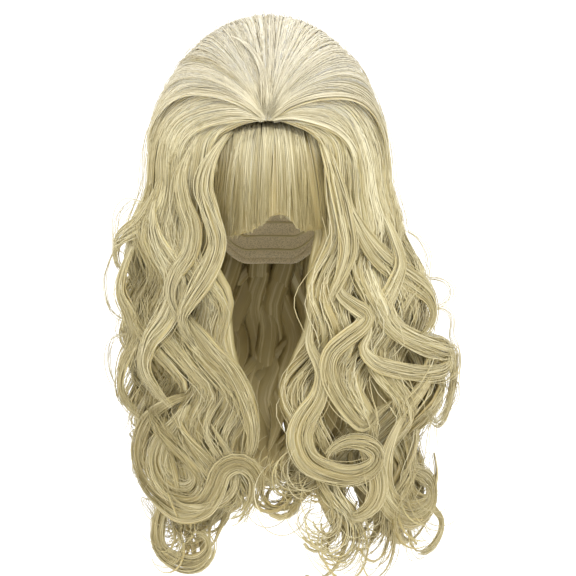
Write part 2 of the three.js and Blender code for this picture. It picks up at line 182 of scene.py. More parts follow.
# Locks that are led over the front: the section that each belongs to, its width in
# millimetres, and the points it passes: x, z and how far it stands out, in millimetres
LED_LOCKS = {
    "ring": ("left_curtain", 24, (
        (48, -201, -16), (45, -228, -4), (58, -257, 2), (55, -284, 4), (41, -307, 5), (35, -328, 6),
        (44, -353, 6), (66, -367, 7), (92, -373, 8), (113, -365, 9), (119, -351, 9), (107, -339, 8),
        (87, -335, 7), (71, -341, 6), (64, -355, 5), (76, -366, 3),
    )),
    "under the ring": ("left_curtain", 24, (
        (85, -320, -16), (106, -337, -4), (118, -366, 3), (122, -392, 4), (113, -413, 4), (93, -423, 2),
        (80, -412, -4),
    )),
    "barrel": ("left_side_curls", 26, (
        (157, -307, -16), (140, -333, -4), (129, -364, 3), (128, -396, 4), (140, -420, 5), (162, -436, 5),
        (184, -430, 5), (185, -405, 4), (166, -387, 3), (151, -389, 1), (153, -406, -2),
    )),
    "tip": ("left_side_curls", 10, (
        (193, -380, -16), (197, -411, -4), (188, -434, 2), (195, -448, 3), (203, -460, 3), (200, -477, 2),
        (185, -488, 1), (167, -481, 0),
    )),
    "inner wave": ("left_curtain", 18, (
        (90, -116, -16), (80, -149, -4), (76, -172, 2), (91, -186, 4), (107, -198, 5), (100, -211, 5),
        (84, -223, 5), (68, -238, 5), (65, -261, 4), (78, -290, 4), (96, -315, 4), (107, -318, 2),
        (121, -304, 0), (139, -295, -6),
    )),
    "sweep": ("left_side_curls", 16, (
        (103, -184, -16), (110, -216, -4), (103, -234, 3), (117, -251, 5), (145, -263, 6), (176, -272, 6),
        (202, -272, 6), (206, -257, 5), (199, -242, 3), (179, -233, 0), (171, -245, -4),
    )),
    "loop": ("left_side_curls", 22, (
        (116, -56, -20), (122, -84, -10), (137, -114, -1), (147, -146, 3), (137, -174, 4), (127, -195, 4),
        (141, -218, 5), (167, -235, 5), (195, -250, 4), (209, -260, 3), (214, -280, 2), (211, -308, 2),
        (203, -329, 2), (190, -335, 1), (176, -311, -4),
    )),
    "outer flip": ("left_curtain", 24, (
        (79, -64, -16), (92, -91, -4), (107, -118, 3), (127, -143, 4), (153, -162, 4), (179, -185, 4),
        (186, -209, 4), (176, -226, 2), (161, -232, -4),
    )),
    "inner curtain": ("right_curtain", 20, (
        (-36, 0, -46), (-47, -12, -26), (-57, -27, -10), (-64, -42, -1), (-67, -63, 2), (-60, -88, 4),
        (-52, -115, 5), (-56, -136, 5), (-68, -160, 5), (-83, -183, 5), (-91, -201, 4), (-84, -220, 2),
        (-69, -239, -6),
    )),
    "upper wave": ("left_curtain", 18, (
        (50, 2, -46), (58, -12, -28), (66, -30, -10), (74, -52, -2), (80, -78, 2), (84, -100, 4),
        (87, -126, 5), (80, -152, 4), (68, -178, 2), (60, -205, -4),
    )),
    "outer wave": ("right_curtain", 20, (
        (-70, 0, -30), (-84, -26, -12), (-92, -52, 0), (-88, -80, 3), (-80, -104, 4), (-84, -130, 5),
        (-98, -152, 4), (-104, -176, 3), (-94, -200, 2), (-80, -222, -4),
    )),
    "branch": ("right_curtain", 18, (
        (-93, -184, -16), (-84, -203, -4), (-70, -221, 3), (-57, -237, 4), (-40, -252, 4), (-27, -273, 4),
        (-19, -299, 3), (-16, -328, 2), (-23, -353, 1), (-36, -368, -4),
    )),
    "side wave": ("right_curtain", 22, (
        (-119, -66, -16), (-125, -93, -4), (-117, -124, 3), (-102, -150, 4), (-98, -176, 4), (-110, -205, 4),
        (-128, -229, 4), (-135, -259, 4), (-121, -284, 3), (-101, -305, -4),
    )),
    "swirl": ("right_curtain", 26, (
        (-78, -285, -20), (-110, -299, -5), (-136, -325, 3), (-149, -367, 4), (-141, -396, 5),
        (-122, -409, 6), (-96, -418, 6), (-70, -408, 6), (-56, -386, 6), (-47, -364, 6),
        (-28, -357, 5), (-13, -372, 4), (-15, -397, 3), (-30, -417, 1), (-47, -417, -4),
    )),
    "filling curl": ("right_curtain", 26, (
        (-86, -296, -14), (-100, -322, -7), (-117, -346, -4), (-122, -370, -3), (-111, -390, -3),
        (-91, -395, -4), (-80, -383, -5), (-88, -369, -6), (-104, -371, -8),
    )),
    "behind the swirl": ("right_curtain", 32, (
        (-120, -328, -22), (-113, -352, -9), (-105, -377, -6), (-99, -402, -7), (-94, -428, -14),
    )),
    "low curl": ("right_side_curls", 24, (
        (-101, -372, -16), (-114, -409, -4), (-125, -445, 2), (-122, -472, 3), (-101, -482, 3),
        (-78, -478, 3), (-63, -460, 2), (-66, -444, 0), (-82, -442, -6),
    )),
    "crossing curl": ("right_curtain", 8, (
        (-62, -318, -16), (-48, -338, -4), (-37, -360, 2), (-36, -384, 4), (-50, -402, 4), (-74, -412, 3),
        (-96, -410, 2), (-112, -398, -2),
    )),
    "flip": ("right_side_curls", 18, (
        (-110, -26, -20), (-115, -52, -10), (-124, -78, -1), (-140, -102, 2), (-160, -117, 4),
        (-172, -130, 4), (-172, -151, 2), (-160, -164, -6),
    )),
    "belly": ("right_side_curls", 20, (
        (-144, -118, -16), (-160, -154, -4), (-165, -183, 2), (-155, -205, 3), (-150, -229, 3),
        (-164, -265, 3), (-167, -294, 2), (-155, -312, 1), (-138, -324, -6),
    )),
}

# Loose hairs that loop out of the mass: their section, and the points they pass: x and z in
# millimetres
LOOPS = (
    ("right_side_curls", ((-136, -82), (-156, -84), (-172, -98), (-176, -118), (-171, -134), (-152, -143))),
    ("right_side_curls", ((-142, -116), (-172, -134), (-187, -165), (-188, -187), (-180, -207), (-161, -215),
                          (-139, -219))),
    ("right_side_curls", ((-152, -227), (-178, -239), (-187, -257), (-187, -277), (-178, -294),
                          (-162, -286))),
    ("right_side_curls", ((-141, -332), (-156, -344), (-159, -353), (-143, -366))),
    ("right_side_curls", ((-127, -388), (-152, -387), (-158, -395), (-153, -402), (-132, -399))),
    ("right_side_curls", ((-121, -424), (-143, -424), (-136, -437), (-119, -449))),
    ("right_curtain", ((-17, -375), (-6, -384), (-4, -395), (-12, -402), (-24, -399))),
    ("left_side_curls", ((151, -111), (173, -125), (185, -147), (183, -174), (171, -192))),
    ("left_side_curls", ((182, -172), (202, -173), (212, -183), (211, -196), (198, -205), (182, -204))),
    ("left_side_curls", ((182, -205), (202, -207), (211, -221), (210, -241), (219, -259), (220, -279),
                         (215, -299), (200, -312))),
    ("left_side_curls", ((189, -243), (211, -248), (221, -263), (218, -281), (202, -290), (187, -288))),
    ("left_side_curls", ((195, -330), (211, -321), (220, -306), (215, -290), (200, -283))),
    ("left_curtain", ((54, -408), (41, -413), (38, -424), (45, -435), (61, -440), (72, -433))),
)

# Swept bundles on the crown: where each starts and ends, as the azimuth in degrees of the hair
# it lies on and the share of the way from the parting, how far it stands out, and its width,
# both in millimetres
SWEPT = (
    (40, 0.02, 52, 1.0, 0.4, 26),
    (-42, 0.02, -52, 1.0, 0.4, 26),
    (66, 0.02, 84, 0.95, 0.4, 30),
    (-70, 0.02, -88, 0.95, 0.4, 30),
    (-152, 0.26, 168, 0.02, 1.0, 7),
)


def mix(start, end, share):
    """The value a share of the way from start to end."""
    return start + (end - start) * share


def smooth(share):
    """A share eased at both of its ends, 0 and 1."""
    s = np.clip(share, 0, 1)
    return s * s * (3 - 2 * s)


def unit(vectors):
    """The vectors at length 1."""
    return vectors / np.maximum(np.linalg.norm(vectors, axis=-1, keepdims=True), 1e-12)


def stripped(vectors, other, share=1.0):
    """Vectors without a share of what lies along another, which is of unit length."""
    return vectors - share * other * np.sum(vectors * other, axis=-1, keepdims=True)


def along_table(keys, values, at):
    """Values of a table's column between its rows, eased from row to row."""
    keys = np.asarray(keys, float)
    values = np.asarray(values, float)
    row = np.clip(np.searchsorted(keys, at, side="left"), 1, len(keys) - 1)
    share = smooth((at - keys[row - 1]) / (keys[row] - keys[row - 1]))
    return mix(values[row - 1], values[row], share)


def direction_at(azimuth, polar):
    """The direction at an azimuth from the face and an angle from the top."""
    return np.stack(
        [np.sin(azimuth) * np.sin(polar), -np.cos(azimuth) * np.sin(polar), np.cos(polar)],
        axis=-1,
    )


# How the hair runs: it sways over the crown, strays as it falls and winds up at its tip. Bare
# values are shares, degrees for the sway, and radians for turns and steps round the head
HAIR_CORE = np.array([0, 0, -88 * MM])
SWOOP = 3.2
SWOOP_TURNS = 5.5
SWOOP_SHIFT = 0.11
CROWN_RELIEF = 0.3
RELIEF_FROM = 0.55
ROOT_EASE = 0.4
LIFT_EASE = 0.25
CROWN_PATH = 240 * MM
WAIST_BLEND = 100 * MM
STRAY = 2.6 * MM
STRAY_DEPTH = 0.7
STRAY_BEAT = 0.8
STRAY_RATE = 1.5
CLUMP_RATE = 1.2
ROOT_RATE = 3
SIDE_STEP = 0.01
NEIGHBOUR_TURN = 0.02
LEAST_SPREAD = 0.03
END_STEP = 4 * MM
TIP_HALF_WIDTH = 10 * MM
SMALLEST_HOOK = 7 * MM
HOOK_TILT = 0.3
HOOK_DRIFT = 2 * MM
HOOK_LEVELLING = 0.6
HOOK_CLOSING = 0.25
HOOK_CLOSING_TURN = 6
HOOK_ROLL = 0.5
TIP_CROWDING = 0.45

# How locks are led, and how the lines that lead them are softened, in steps or rounds
LED_THICKNESS = 0.26
LED_STRAY = 0.7
LED_STRAY_DEPTH = 0.6
LED_ROOT = 0.25
LED_OPEN_AT = 0.4
LED_CLOSING_FROM = 0.6
LED_CORE_DEPTH = 50 * MM
LED_CROWN_BLEND = 50 * MM
LINE_POINTS = 40
LINE_SOFTENING = 16
NORMAL_SOFTENING = 40
MASS_SOFTENING = 2
SIDE_EASE = 1.05
LOOP_ROOT = -8
LOOP_WIDTH = 5 * MM

# How far hair may reach ahead, behind, to the left and down, and the stretch that eases it
FRONT_REACH = 120 * MM
BACK_REACH = 146 * MM
LEFT_REACH = 214 * MM
LOW_REACH = 490 * MM
EASE = 12 * MM

# Where hair grows ashier and lighter towards the crown, partly its own tone and partly painted light
# on the top, and where painted shade makes it darker the lower it hangs
ASH_AND_LIGHT_FROM = -50 * MM
ASH_AND_LIGHT_OVER = 150 * MM
LOW_FROM = -70 * MM
LOW_OVER = 300 * MM
LOW_PAINTED_SHADE = 0.24

LEVEL = np.array([1, 1, 0])
PARTING_POLAR = math.acos((PARTING_RISE + WAIST_DROP) / (BOUFFANT_RISE + WAIST_DROP))
PARTING = direction_at(np.array(0.0), np.array(PARTING_POLAR))


def bouffant_points(directions):
    """Points on the bouffant's outer surface in these directions from its middle."""
    polar = np.arccos(np.clip(directions[..., 2], -1, 1)) / DEGREE
    crest = smooth((polar - CREST_POLAR) / (90 - CREST_POLAR))
    front = mix(CREST_FRONT, BOUFFANT_FRONT, crest)
    depth = np.where(directions[..., 1] < 0, front, BOUFFANT_BACK)
    away = np.arccos(np.clip(directions @ PARTING, -1, 1)) / (PARTING_REACH * DEGREE)
    keep = 1 - PARTING_DENT * np.exp(-away * away)
    ahead = np.sign(directions[..., 1]) * np.abs(directions[..., 1]) ** SIDE_FULLNESS
    return np.stack(
        [
            BOUFFANT_HALF_WIDTH * directions[..., 0] * keep,
            HAIR_MIDDLE + depth * ahead * keep,
            -WAIST_DROP + (BOUFFANT_RISE + WAIST_DROP) * directions[..., 2],
        ],
        axis=-1,
    )


def combed_points(azimuth, share):
    """The combed path over the bouffant of hair that crosses the waist at an azimuth."""
    from_edge = np.arccos(np.clip(np.cos(azimuth), -1, 1)) / DEGREE - CURTAIN_AZIMUTH
    polar = mix(CURTAIN_LIFT_POLAR, LIFT_POLAR, smooth(from_edge / LIFT_SPREAD)) * DEGREE
    lifted = direction_at(azimuth, polar)
    low = direction_at(azimuth, np.full_like(azimuth, math.pi / 2))
    share = share[..., None]
    rest = 1 - share
    return bouffant_points(unit(rest * rest * PARTING + 2 * share * rest * lifted + share * share * low))


def outline_at(drop):
    """The outline's columns a share of the way down the falling hair."""
    drop = np.clip(drop, 0, 1)
    return {name: along_table(OUTLINE_DROPS, values, drop) for name, values in OUTLINE.items()}


def fall_points(azimuth, drop):
    """Points in the middle of the falling hair, a share of its length below the waist."""
    side, ahead = np.sin(azimuth), np.cos(azimuth)
    column = outline_at(drop)
    wide = np.where(side < 0, column["right"], column["left"])
    deep = np.where(ahead > 0, FALL_FRONT * column["front"], FALL_BACK * column["back"])
    return np.stack(
        [side * FALL_WIDTH * wide, HAIR_MIDDLE - ahead * deep, -WAIST_DROP - drop * FALL_LENGTH],
        axis=-1,
    )


def crown_part(hair, share):
    """Hair over the bouffant, a share of the way from the parting to the waist."""
    sway = SWOOP * np.sin(SWOOP_TURNS * share + hair["waist"] * SWOOP_SHIFT) * np.sin(math.pi * share)
    azimuth = (hair["waist"] + hair["side"] * LOCK_HALF_ANGLE + sway * smooth(share * ROOT_RATE)) * DEGREE
    surface = combed_points(azimuth, share)
    normal = unit(surface - HAIR_CORE)
    relief = mix(CROWN_RELIEF, 1, smooth((share - RELIEF_FROM) / (1 - RELIEF_FROM)))
    relief = relief * smooth(share / ROOT_EASE)
    inset = (1 - hair["depth"]) / 2 * LOCK_THICKNESS * relief - hair["lift"] * smooth(share / LIFT_EASE)
    return surface - normal * inset[..., None], normal


def fall_part(hair, drop):
    """Hair below the waist, a share of the falling length down, before it meets the crown."""
    curls = bpy.context.scene.wig_curls
    fallen = drop * FALL_LENGTH
    down = np.clip(drop / hair["tip"], 0, 1)
    gather = 1 - curls.clump * smooth(down * CLUMP_RATE)
    turned = mix(hair["waist"], hair["end"], smooth(down / TURNED_IN))
    azimuth = (turned + hair["side"] * LOCK_HALF_ANGLE * gather) * DEGREE
    point = fall_points(azimuth, drop)
    aside = unit((fall_points(azimuth + SIDE_STEP, drop) - point) * LEVEL)
    outward = np.stack([aside[..., 1], -aside[..., 0], 0 * drop], axis=-1)
    swing = curls.radius * hair["curl"] * smooth(fallen / curls.onset)
    turns = hair["phase"] + fallen / (curls.pitch * hair["pitch"])
    angle = 2 * math.pi * hair["turn"] * turns + hair["shift"]
    wave = fallen * hair["stray_rate"] + hair["stray_phase"]
    stray = STRAY * hair["loose"] * smooth(down * STRAY_RATE)
    sideways = swing * np.cos(angle) + stray * np.sin(wave)
    out = hair["depth"] * LOCK_THICKNESS / 2 * gather + hair["lift"]
    out = out + swing * curls.depth * np.sin(angle) + STRAY_DEPTH * stray * np.cos(STRAY_BEAT * wave)
    return point + aside * sideways[..., None] + outward * out[..., None], aside, outward


def hair_paths(hairs, steps):
    """Paths of hairs from the parting, over the bouffant and down to their curled tips.

    hairs holds one array for each column. Returns points, outward directions, the share of
    the length, and how far apart neighbours lie, each for every hair and step.
    """
    hair = {name: np.asarray(values, float)[:, None] for name, values in hairs.items()}
    along = np.linspace(0, 1, steps)[None, :] + 0 * hair["waist"]
    crown_length = (1 - hair["start"]) * CROWN_PATH
    straight = crown_length + hair["tip"] * FALL_LENGTH
    inside = hair["side"] * hair["turn"] * TIP_HALF_WIDTH
    hook = np.maximum(hair["hook"] - inside, SMALLEST_HOOK)
    total = straight + hair["hook_turn"] * DEGREE * hook
    reach = total * mix(along, 1 - (1 - along) ** 2, TIP_CROWDING)
    nothing = 0 * hair["waist"]
    crown_end, _ = crown_part(hair, nothing + 1)
    fall_start, _, _ = fall_part(hair, nothing)

    def joined(distance):
        share = np.clip(mix(hair["start"], 1, distance / crown_length), 0, 1)
        crown, normal = crown_part(hair, share)
        drop = np.maximum(distance - crown_length, 0) / FALL_LENGTH
        fall, aside, outward = fall_part(hair, drop)
        settled = smooth(drop * FALL_LENGTH / WAIST_BLEND)[..., None]
        fall = fall + (crown_end - fall_start) * (1 - settled)
        over = (distance < crown_length)[..., None]
        return np.where(over, crown, fall), np.where(over, normal, outward), aside, share

    points, outward, _, share = joined(np.minimum(reach, straight))
    end, end_out, end_aside, _ = joined(straight)
    before, _, _, _ = joined(straight - END_STEP)
    heading = unit(stripped(end - before, end_out, HOOK_LEVELLING))
    bend = unit(stripped(end_aside * hair["turn"][..., None] + HOOK_TILT * end_out, heading))
    axis = np.cross(heading, bend)
    turned = np.maximum(reach - straight, 0) / hook
    shrink = (hook * (1 - HOOK_CLOSING * smooth(turned / HOOK_CLOSING_TURN)))[..., None]
    sine, cosine = np.sin(turned)[..., None], np.cos(turned)[..., None]
    arc = end + shrink * (sine * heading + (1 - cosine) * bend) + axis * (HOOK_DRIFT * turned)[..., None]
    hooked = (reach > straight)[..., None]
    points = np.where(hooked, arc, points)
    rolled = unit(mix(end_out, sine * heading - cosine * bend, HOOK_ROLL))
    outward = np.where(hooked, rolled, outward)
    points = held_in(points)
    low = (hair["waist"] + hair["side"] * LOCK_HALF_ANGLE) * DEGREE
    near = combed_points(low + NEIGHBOUR_TURN, share) - combed_points(low - NEIGHBOUR_TURN, share)
    widest = 2 * NEIGHBOUR_TURN * BOUFFANT_HALF_WIDTH
    spread = np.clip(np.linalg.norm(near, axis=-1) / widest, LEAST_SPREAD, 1)
    return points, unit(outward), along, spread


def held_in(points):
    """Points eased back where hair would reach too far in front, behind, to the left or below."""

    def eased(past):
        past = np.maximum(past, 0)
        return past - EASE * np.tanh(past / EASE)

    x, y, z = points[..., 0], points[..., 1], points[..., 2]
    depth = y + eased(-FRONT_REACH - y) - eased(y - BACK_REACH)
    return np.stack([x - eased(x - LEFT_REACH), depth, z + eased(-LOW_REACH - z)], axis=-1)


def mass_points(points):
    """Points on the front of the falling hair, from x, z and how far they stand out."""
    x, z, out = np.asarray(points, float).T * MM
    column = outline_at((-WAIST_DROP - z) / FALL_LENGTH)
    wide = FALL_WIDTH * np.where(x < 0, column["right"], column["left"]) + LOCK_THICKNESS / 2
    deep = FALL_FRONT * column["front"] + LOCK_THICKNESS / 2
    ahead = np.sqrt(np.clip(1 - (x / wide / SIDE_EASE) ** 2, 0, 1)) * deep
    for _ in range(MASS_SOFTENING):
        inner = (ahead[:-2] + 2 * ahead[1:-1] + ahead[2:]) / 4
        ahead = np.concatenate([ahead[:1], inner, ahead[-1:]])
    return np.stack([x, HAIR_MIDDLE - ahead - out, z], axis=-1)


def softened(rows, reach):
    """Rows averaged with their neighbours, so many to either side."""
    weights = np.hanning(2 * reach + 1)
    padded = np.concatenate([rows[:1].repeat(reach, 0), rows, rows[-1:].repeat(reach, 0)])
    columns = [np.convolve(padded[:, k], weights / np.sum(weights), mode="valid") for k in range(3)]
    return np.stack(columns, axis=-1)


def line_through(knots):
    """A fine, even line that passes near the knots."""
    ends = np.concatenate([[2 * knots[0] - knots[1]], knots, [2 * knots[-1] - knots[-2]]])
    fine = np.linspace(0, len(knots) - 1 - 1e-4, LINE_POINTS * len(knots))
    which = fine.astype(int)
    t = (fine - which)[:, None]
    a, b, c, d = (ends[which + k] for k in range(4))
    bent = (2 * a - 5 * b + 4 * c - d) * t * t + (3 * b - a - 3 * c + d) * t ** 3
    return softened(0.5 * (2 * b + (c - a) * t + bent), LINE_SOFTENING)


def led_paths(knots, width, thickness, closing, hairs, steps):
    """Paths of hairs in a lock that is led through a few points, and narrows to a share.

    hairs holds one array for each column. Returns points, outward directions and the share of
    the length, for every hair and step.
    """
    line = line_through(knots)
    length = np.concatenate([[0], np.cumsum(np.linalg.norm(np.diff(line, axis=0), axis=1))])
    tangent = unit(np.gradient(line, axis=0))
    away = line - np.array([0, HAIR_MIDDLE + LED_CORE_DEPTH, 0])
    above = smooth((line[:, 2] + WAIST_DROP) / LED_CROWN_BLEND)[:, None]
    out = unit(mix(unit(away * LEVEL), unit(line - HAIR_CORE), above))
    out = unit(stripped(softened(stripped(out, tangent), NORMAL_SOFTENING), tangent))
    aside = np.cross(tangent, out)
    hair = {name: np.asarray(values, float)[:, None] for name, values in hairs.items()}
    along = np.linspace(0, 1, steps)[None, :] + 0 * hair["side"]
    at = mix(hair["from"], hair["to"], along) * length[-1]

    def along_line(table):
        return np.stack([np.interp(at, length, table[:, k]) for k in range(3)], axis=-1)

    share = at / length[-1]
    closed = smooth((share - LED_CLOSING_FROM) / LED_OPEN_AT)
    opened = mix(LED_ROOT, 1, smooth(share / LED_OPEN_AT)) * mix(1, closing, closed)
    wave = at * hair["stray_rate"] + hair["stray_phase"]
    stray = STRAY * LED_STRAY * hair["loose"] * smooth(share * ROOT_RATE)
    side = hair["side"] * width / 2 * opened + stray * np.sin(wave)
    lift = hair["depth"] * thickness / 2 * opened + hair["lift"]
    lift = lift + LED_STRAY_DEPTH * stray * np.cos(STRAY_BEAT * wave)
    normal = along_line(out)
    points = along_line(line) + along_line(aside) * side[..., None] + normal * lift[..., None]
    return held_in(points), unit(normal), along


# Nodes


def fill(tree, node, inputs):
    """Links or sets a node's inputs, and hands the node back."""
    for slot, value in inputs.items():
        if isinstance(value, bpy.types.NodeSocket):
            tree.links.new(value, node.inputs[slot])
        else:
            node.inputs[slot].default_value = value
    return node


def add(tree, kind, inputs=None, **settings):
    """A new node with these settings and inputs."""
    node = tree.nodes.new(kind)
    for name, value in settings.items():
        setattr(node, name, value)
    return fill(tree, node, inputs or {})


def maths(tree, operation, first, second=None, clamp=False):
    """What a math node puts out for one or two sockets or numbers."""
    inputs = {0: first} if second is None else {0: first, 1: second}
    return add(tree, "ShaderNodeMath", inputs, operation=operation, use_clamp=clamp).outputs[0]


def attribute(tree, name, kind="FLOAT"):
    """What the points of a path hold under a name."""
    node = add(tree, "GeometryNodeInputNamedAttribute", {"Name": name}, data_type=kind)
    return node.outputs["Attribute"]


def new_group(name, kind, inputs, outputs):
    """A node group with sockets of these kinds and defaults; returns it and what it is given."""
    tree = bpy.data.node_groups.new(name, kind)
    for in_out, sockets in (("OUTPUT", outputs), ("INPUT", inputs)):
        for label, (socket_kind, default) in sockets.items():
            made = tree.interface.new_socket(label, in_out=in_out, socket_type="NodeSocket" + socket_kind)
            if default is not None:
                made.default_value = default
    return tree, add(tree, "NodeGroupInput").outputs


def sweep_tree():
    """A geometry node tree that sweeps a lens-shaped or round section along paths of points."""
    name = "Sweep hair"
    if name in bpy.data.node_groups:
        return bpy.data.node_groups[name]
    inputs = {
        "Geometry": ("Geometry", None),
        "Sides": ("Int", 8),
        "Flatness": ("Float", 0.4),
        "Ridges": ("Float", 0.1),
        "Material": ("Material", None),
    }
    tree, given = new_group(name, "GeometryNodeTree", inputs, {"Geometry": ("Geometry", None)})
    points = add(tree, "GeometryNodeMeshToPoints", {"Mesh": given["Geometry"]})
    curves = add(tree, "GeometryNodePointsToCurves", {
        "Points": points.outputs["Points"],
        "Curve Group ID": attribute(tree, "hair", "INT"),
        "Weight": attribute(tree, "along"),
    })
    facing = add(tree, "GeometryNodeSetCurveNormal", {
        "Curve": curves.outputs["Curves"],
        "Normal": attribute(tree, "outward", "FLOAT_VECTOR"),
    }, mode="FREE")

    circle = add(tree, "GeometryNodeCurvePrimitiveCircle", {"Radius": 1.0, "Resolution": given["Sides"]})
    index = add(tree, "GeometryNodeInputIndex").outputs[0]
    around = add(tree, "GeometryNodeStoreNamedAttribute", {
        "Geometry": circle.outputs["Curve"],
        "Name": "around",
        "Value": maths(tree, "DIVIDE", index, given["Sides"]),
    }, data_type="FLOAT", domain="POINT")
    place = add(tree, "GeometryNodeInputPosition").outputs[0]
    across, above, _ = add(tree, "ShaderNodeSeparateXYZ", {0: place}).outputs
    ridge = maths(tree, "MULTIPLY", maths(tree, "PINGPONG", index, 1.0), given["Ridges"])
    flat = maths(tree, "MULTIPLY", maths(tree, "ABSOLUTE", above), given["Flatness"])
    high = maths(tree, "MULTIPLY", maths(tree, "SIGN", above), maths(tree, "ADD", ridge, flat))
    lens = add(tree, "ShaderNodeCombineXYZ", {"X": high, "Y": across}).outputs[0]
    shape = add(tree, "GeometryNodeSetPosition", {"Geometry": around.outputs["Geometry"], "Position": lens})

    sweep = add(tree, "GeometryNodeCurveToMesh", {
        "Curve": facing.outputs["Curve"],
        "Profile Curve": shape.outputs["Geometry"],
        "Scale": attribute(tree, "size"),
        "Fill Caps": True,
    })
    real = add(tree, "GeometryNodeRealizeInstances", {0: sweep.outputs["Mesh"]}).outputs[0]
    finish = add(tree, "GeometryNodeSetMaterial", {"Geometry": real, "Material": given["Material"]})
    add(tree, "NodeGroupOutput", {"Geometry": finish.outputs["Geometry"]})
    return tree


# Sweeping: paths to closed meshes, by geometry nodes

ATTRIBUTE_KINDS = {"hair": "INT", "outward": "FLOAT_VECTOR"}
# How far the streaks of one hair are shifted against the next one's, across and along it
HAIR_SHIFT = 1.37
HAIR_OFFSET = 0.173
# How often streaks come in a closed wall, for each of its columns and along it
SHELL_GRAIN = 0.28
SHELL_LENGTH = 2
# What hairs take of their strips of the atlas, and meshes of their bands of it
STRIP_MARGIN = 0.05
STRIP_WIDTH = 0.72
STRIP_HEIGHT = 0.96
BAND_HEIGHT = 0.98


def set_input(modifier, name, value):
    """Sets the input of a modifier that its tree calls by this name."""
    for item in modifier.node_group.interface.items_tree:
        if item.name == name and item.in_out == "INPUT":
            modifier[item.identifier] = value
            return
    raise RuntimeError(f"the tree has no input named {name}")


def store(mesh, name, values):
    """Stores one value for each point of a mesh."""
    kind = ATTRIBUTE_KINDS.get(name, "FLOAT")
    made = mesh.attributes.new(name, kind, "POINT")
    key = "vector" if kind == "FLOAT_VECTOR" else "value"
    made.data.foreach_set(key, values.astype(np.int32 if kind == "INT" else np.float32).ravel())


def write_map(mesh, name, u, v):
    """Adds a UV map, with one pair for each corner of the faces."""
    layer = mesh.uv_layers.new(name=name)
    layer.data.foreach_set("uv", np.stack([u, v], axis=-1).astype(np.float32).ravel())


def shade_smooth(mesh):
    """Lets light run smoothly over all the faces of a mesh."""
    mesh.polygons.foreach_set("use_smooth", np.ones(len(mesh.polygons), bool))


def ash_and_top_light(points):
    """How ashy and light the hair is, more so high on the crown: partly its own tone, partly painted light
    on the top.
    """
    return smooth((points[..., 2] - ASH_AND_LIGHT_FROM) / ASH_AND_LIGHT_OVER)


def swept(paths, size, shade, material, sides, flatness, ridges, grain=1.0):
    """The mesh of closed tubes along paths: points, outward directions and shares of the length."""
    points, outward, along = paths
    hairs, steps, _ = points.shape
    guide = bpy.data.meshes.new("paths")
    guide.vertices.add(hairs * steps)
    guide.vertices.foreach_set("co", points.astype(np.float32).ravel())
    store(guide, "hair", np.repeat(np.arange(hairs), steps))
    store(guide, "along", along)
    store(guide, "outward", outward)
    store(guide, "size", size)
    shade = shade if shade.ndim == 2 else shade[:, None]
    # Painted shade: hair darker the lower it hangs
    store(guide, "shade", shade - LOW_PAINTED_SHADE * smooth((LOW_FROM - points[..., 2]) / LOW_OVER))
    store(guide, "ash_and_light", ash_and_top_light(points))
    holder = bpy.data.objects.new("paths", guide)
    bpy.context.scene.collection.objects.link(holder)
    modifier = holder.modifiers.new("Sweep", "NODES")
    modifier.node_group = sweep_tree()
    set_input(modifier, "Sides", sides)
    set_input(modifier, "Flatness", flatness)
    set_input(modifier, "Ridges", ridges)
    set_input(modifier, "Material", material)
    graph = bpy.context.evaluated_depsgraph_get()
    mesh = bpy.data.meshes.new_from_object(holder.evaluated_get(graph))
    bpy.data.objects.remove(holder)
    bpy.data.meshes.remove(guide)
    lay_out(mesh, hairs, grain)
    return mesh


def lay_out(mesh, hairs, grain):
    """Gives swept hair a map that runs along each strand, and a strip of the atlas each."""
    corners = np.empty(len(mesh.loops), np.int32)
    mesh.loops.foreach_get("vertex_index", corners)

    def corner_values(name):
        stored = mesh.attributes[name]
        values = np.empty(len(stored.data), np.int32 if stored.data_type == "INT" else np.float32)
        stored.data.foreach_get("value", values)
        return values[corners].astype(float)

    def face_values(name):
        values = np.empty(len(mesh.polygons), np.int32)
        mesh.polygons.foreach_get(name, values)
        return values

    around, along, hair = (corner_values(name) for name in ("around", "along", "hair"))
    starts, counts = face_values("loop_start"), face_values("loop_total")
    face = np.repeat(np.arange(len(counts)), counts)
    # The side that closes the circle runs on to 1, and not back to 0
    highest = np.maximum.reduceat(around, starts)[face]
    around = around + ((counts == 4)[face] & (highest - around > 0.5))
    strips = math.ceil(math.sqrt(hairs / 4)) * 4
    rows = math.ceil(hairs / strips)
    u = (hair % strips + STRIP_MARGIN + STRIP_WIDTH * around) / strips
    v = (hair // strips + (1 - STRIP_HEIGHT) / 2 + STRIP_HEIGHT * along) / rows
    write_map(mesh, "OFBake", u, v)
    write_map(mesh, "flow", hair * HAIR_SHIFT + around * grain, along + hair * HAIR_OFFSET)
    shade_smooth(mesh)
    for name in ("around", "along", "hair", "outward", "size"):
        if name in mesh.attributes:
            mesh.attributes.remove(mesh.attributes[name])


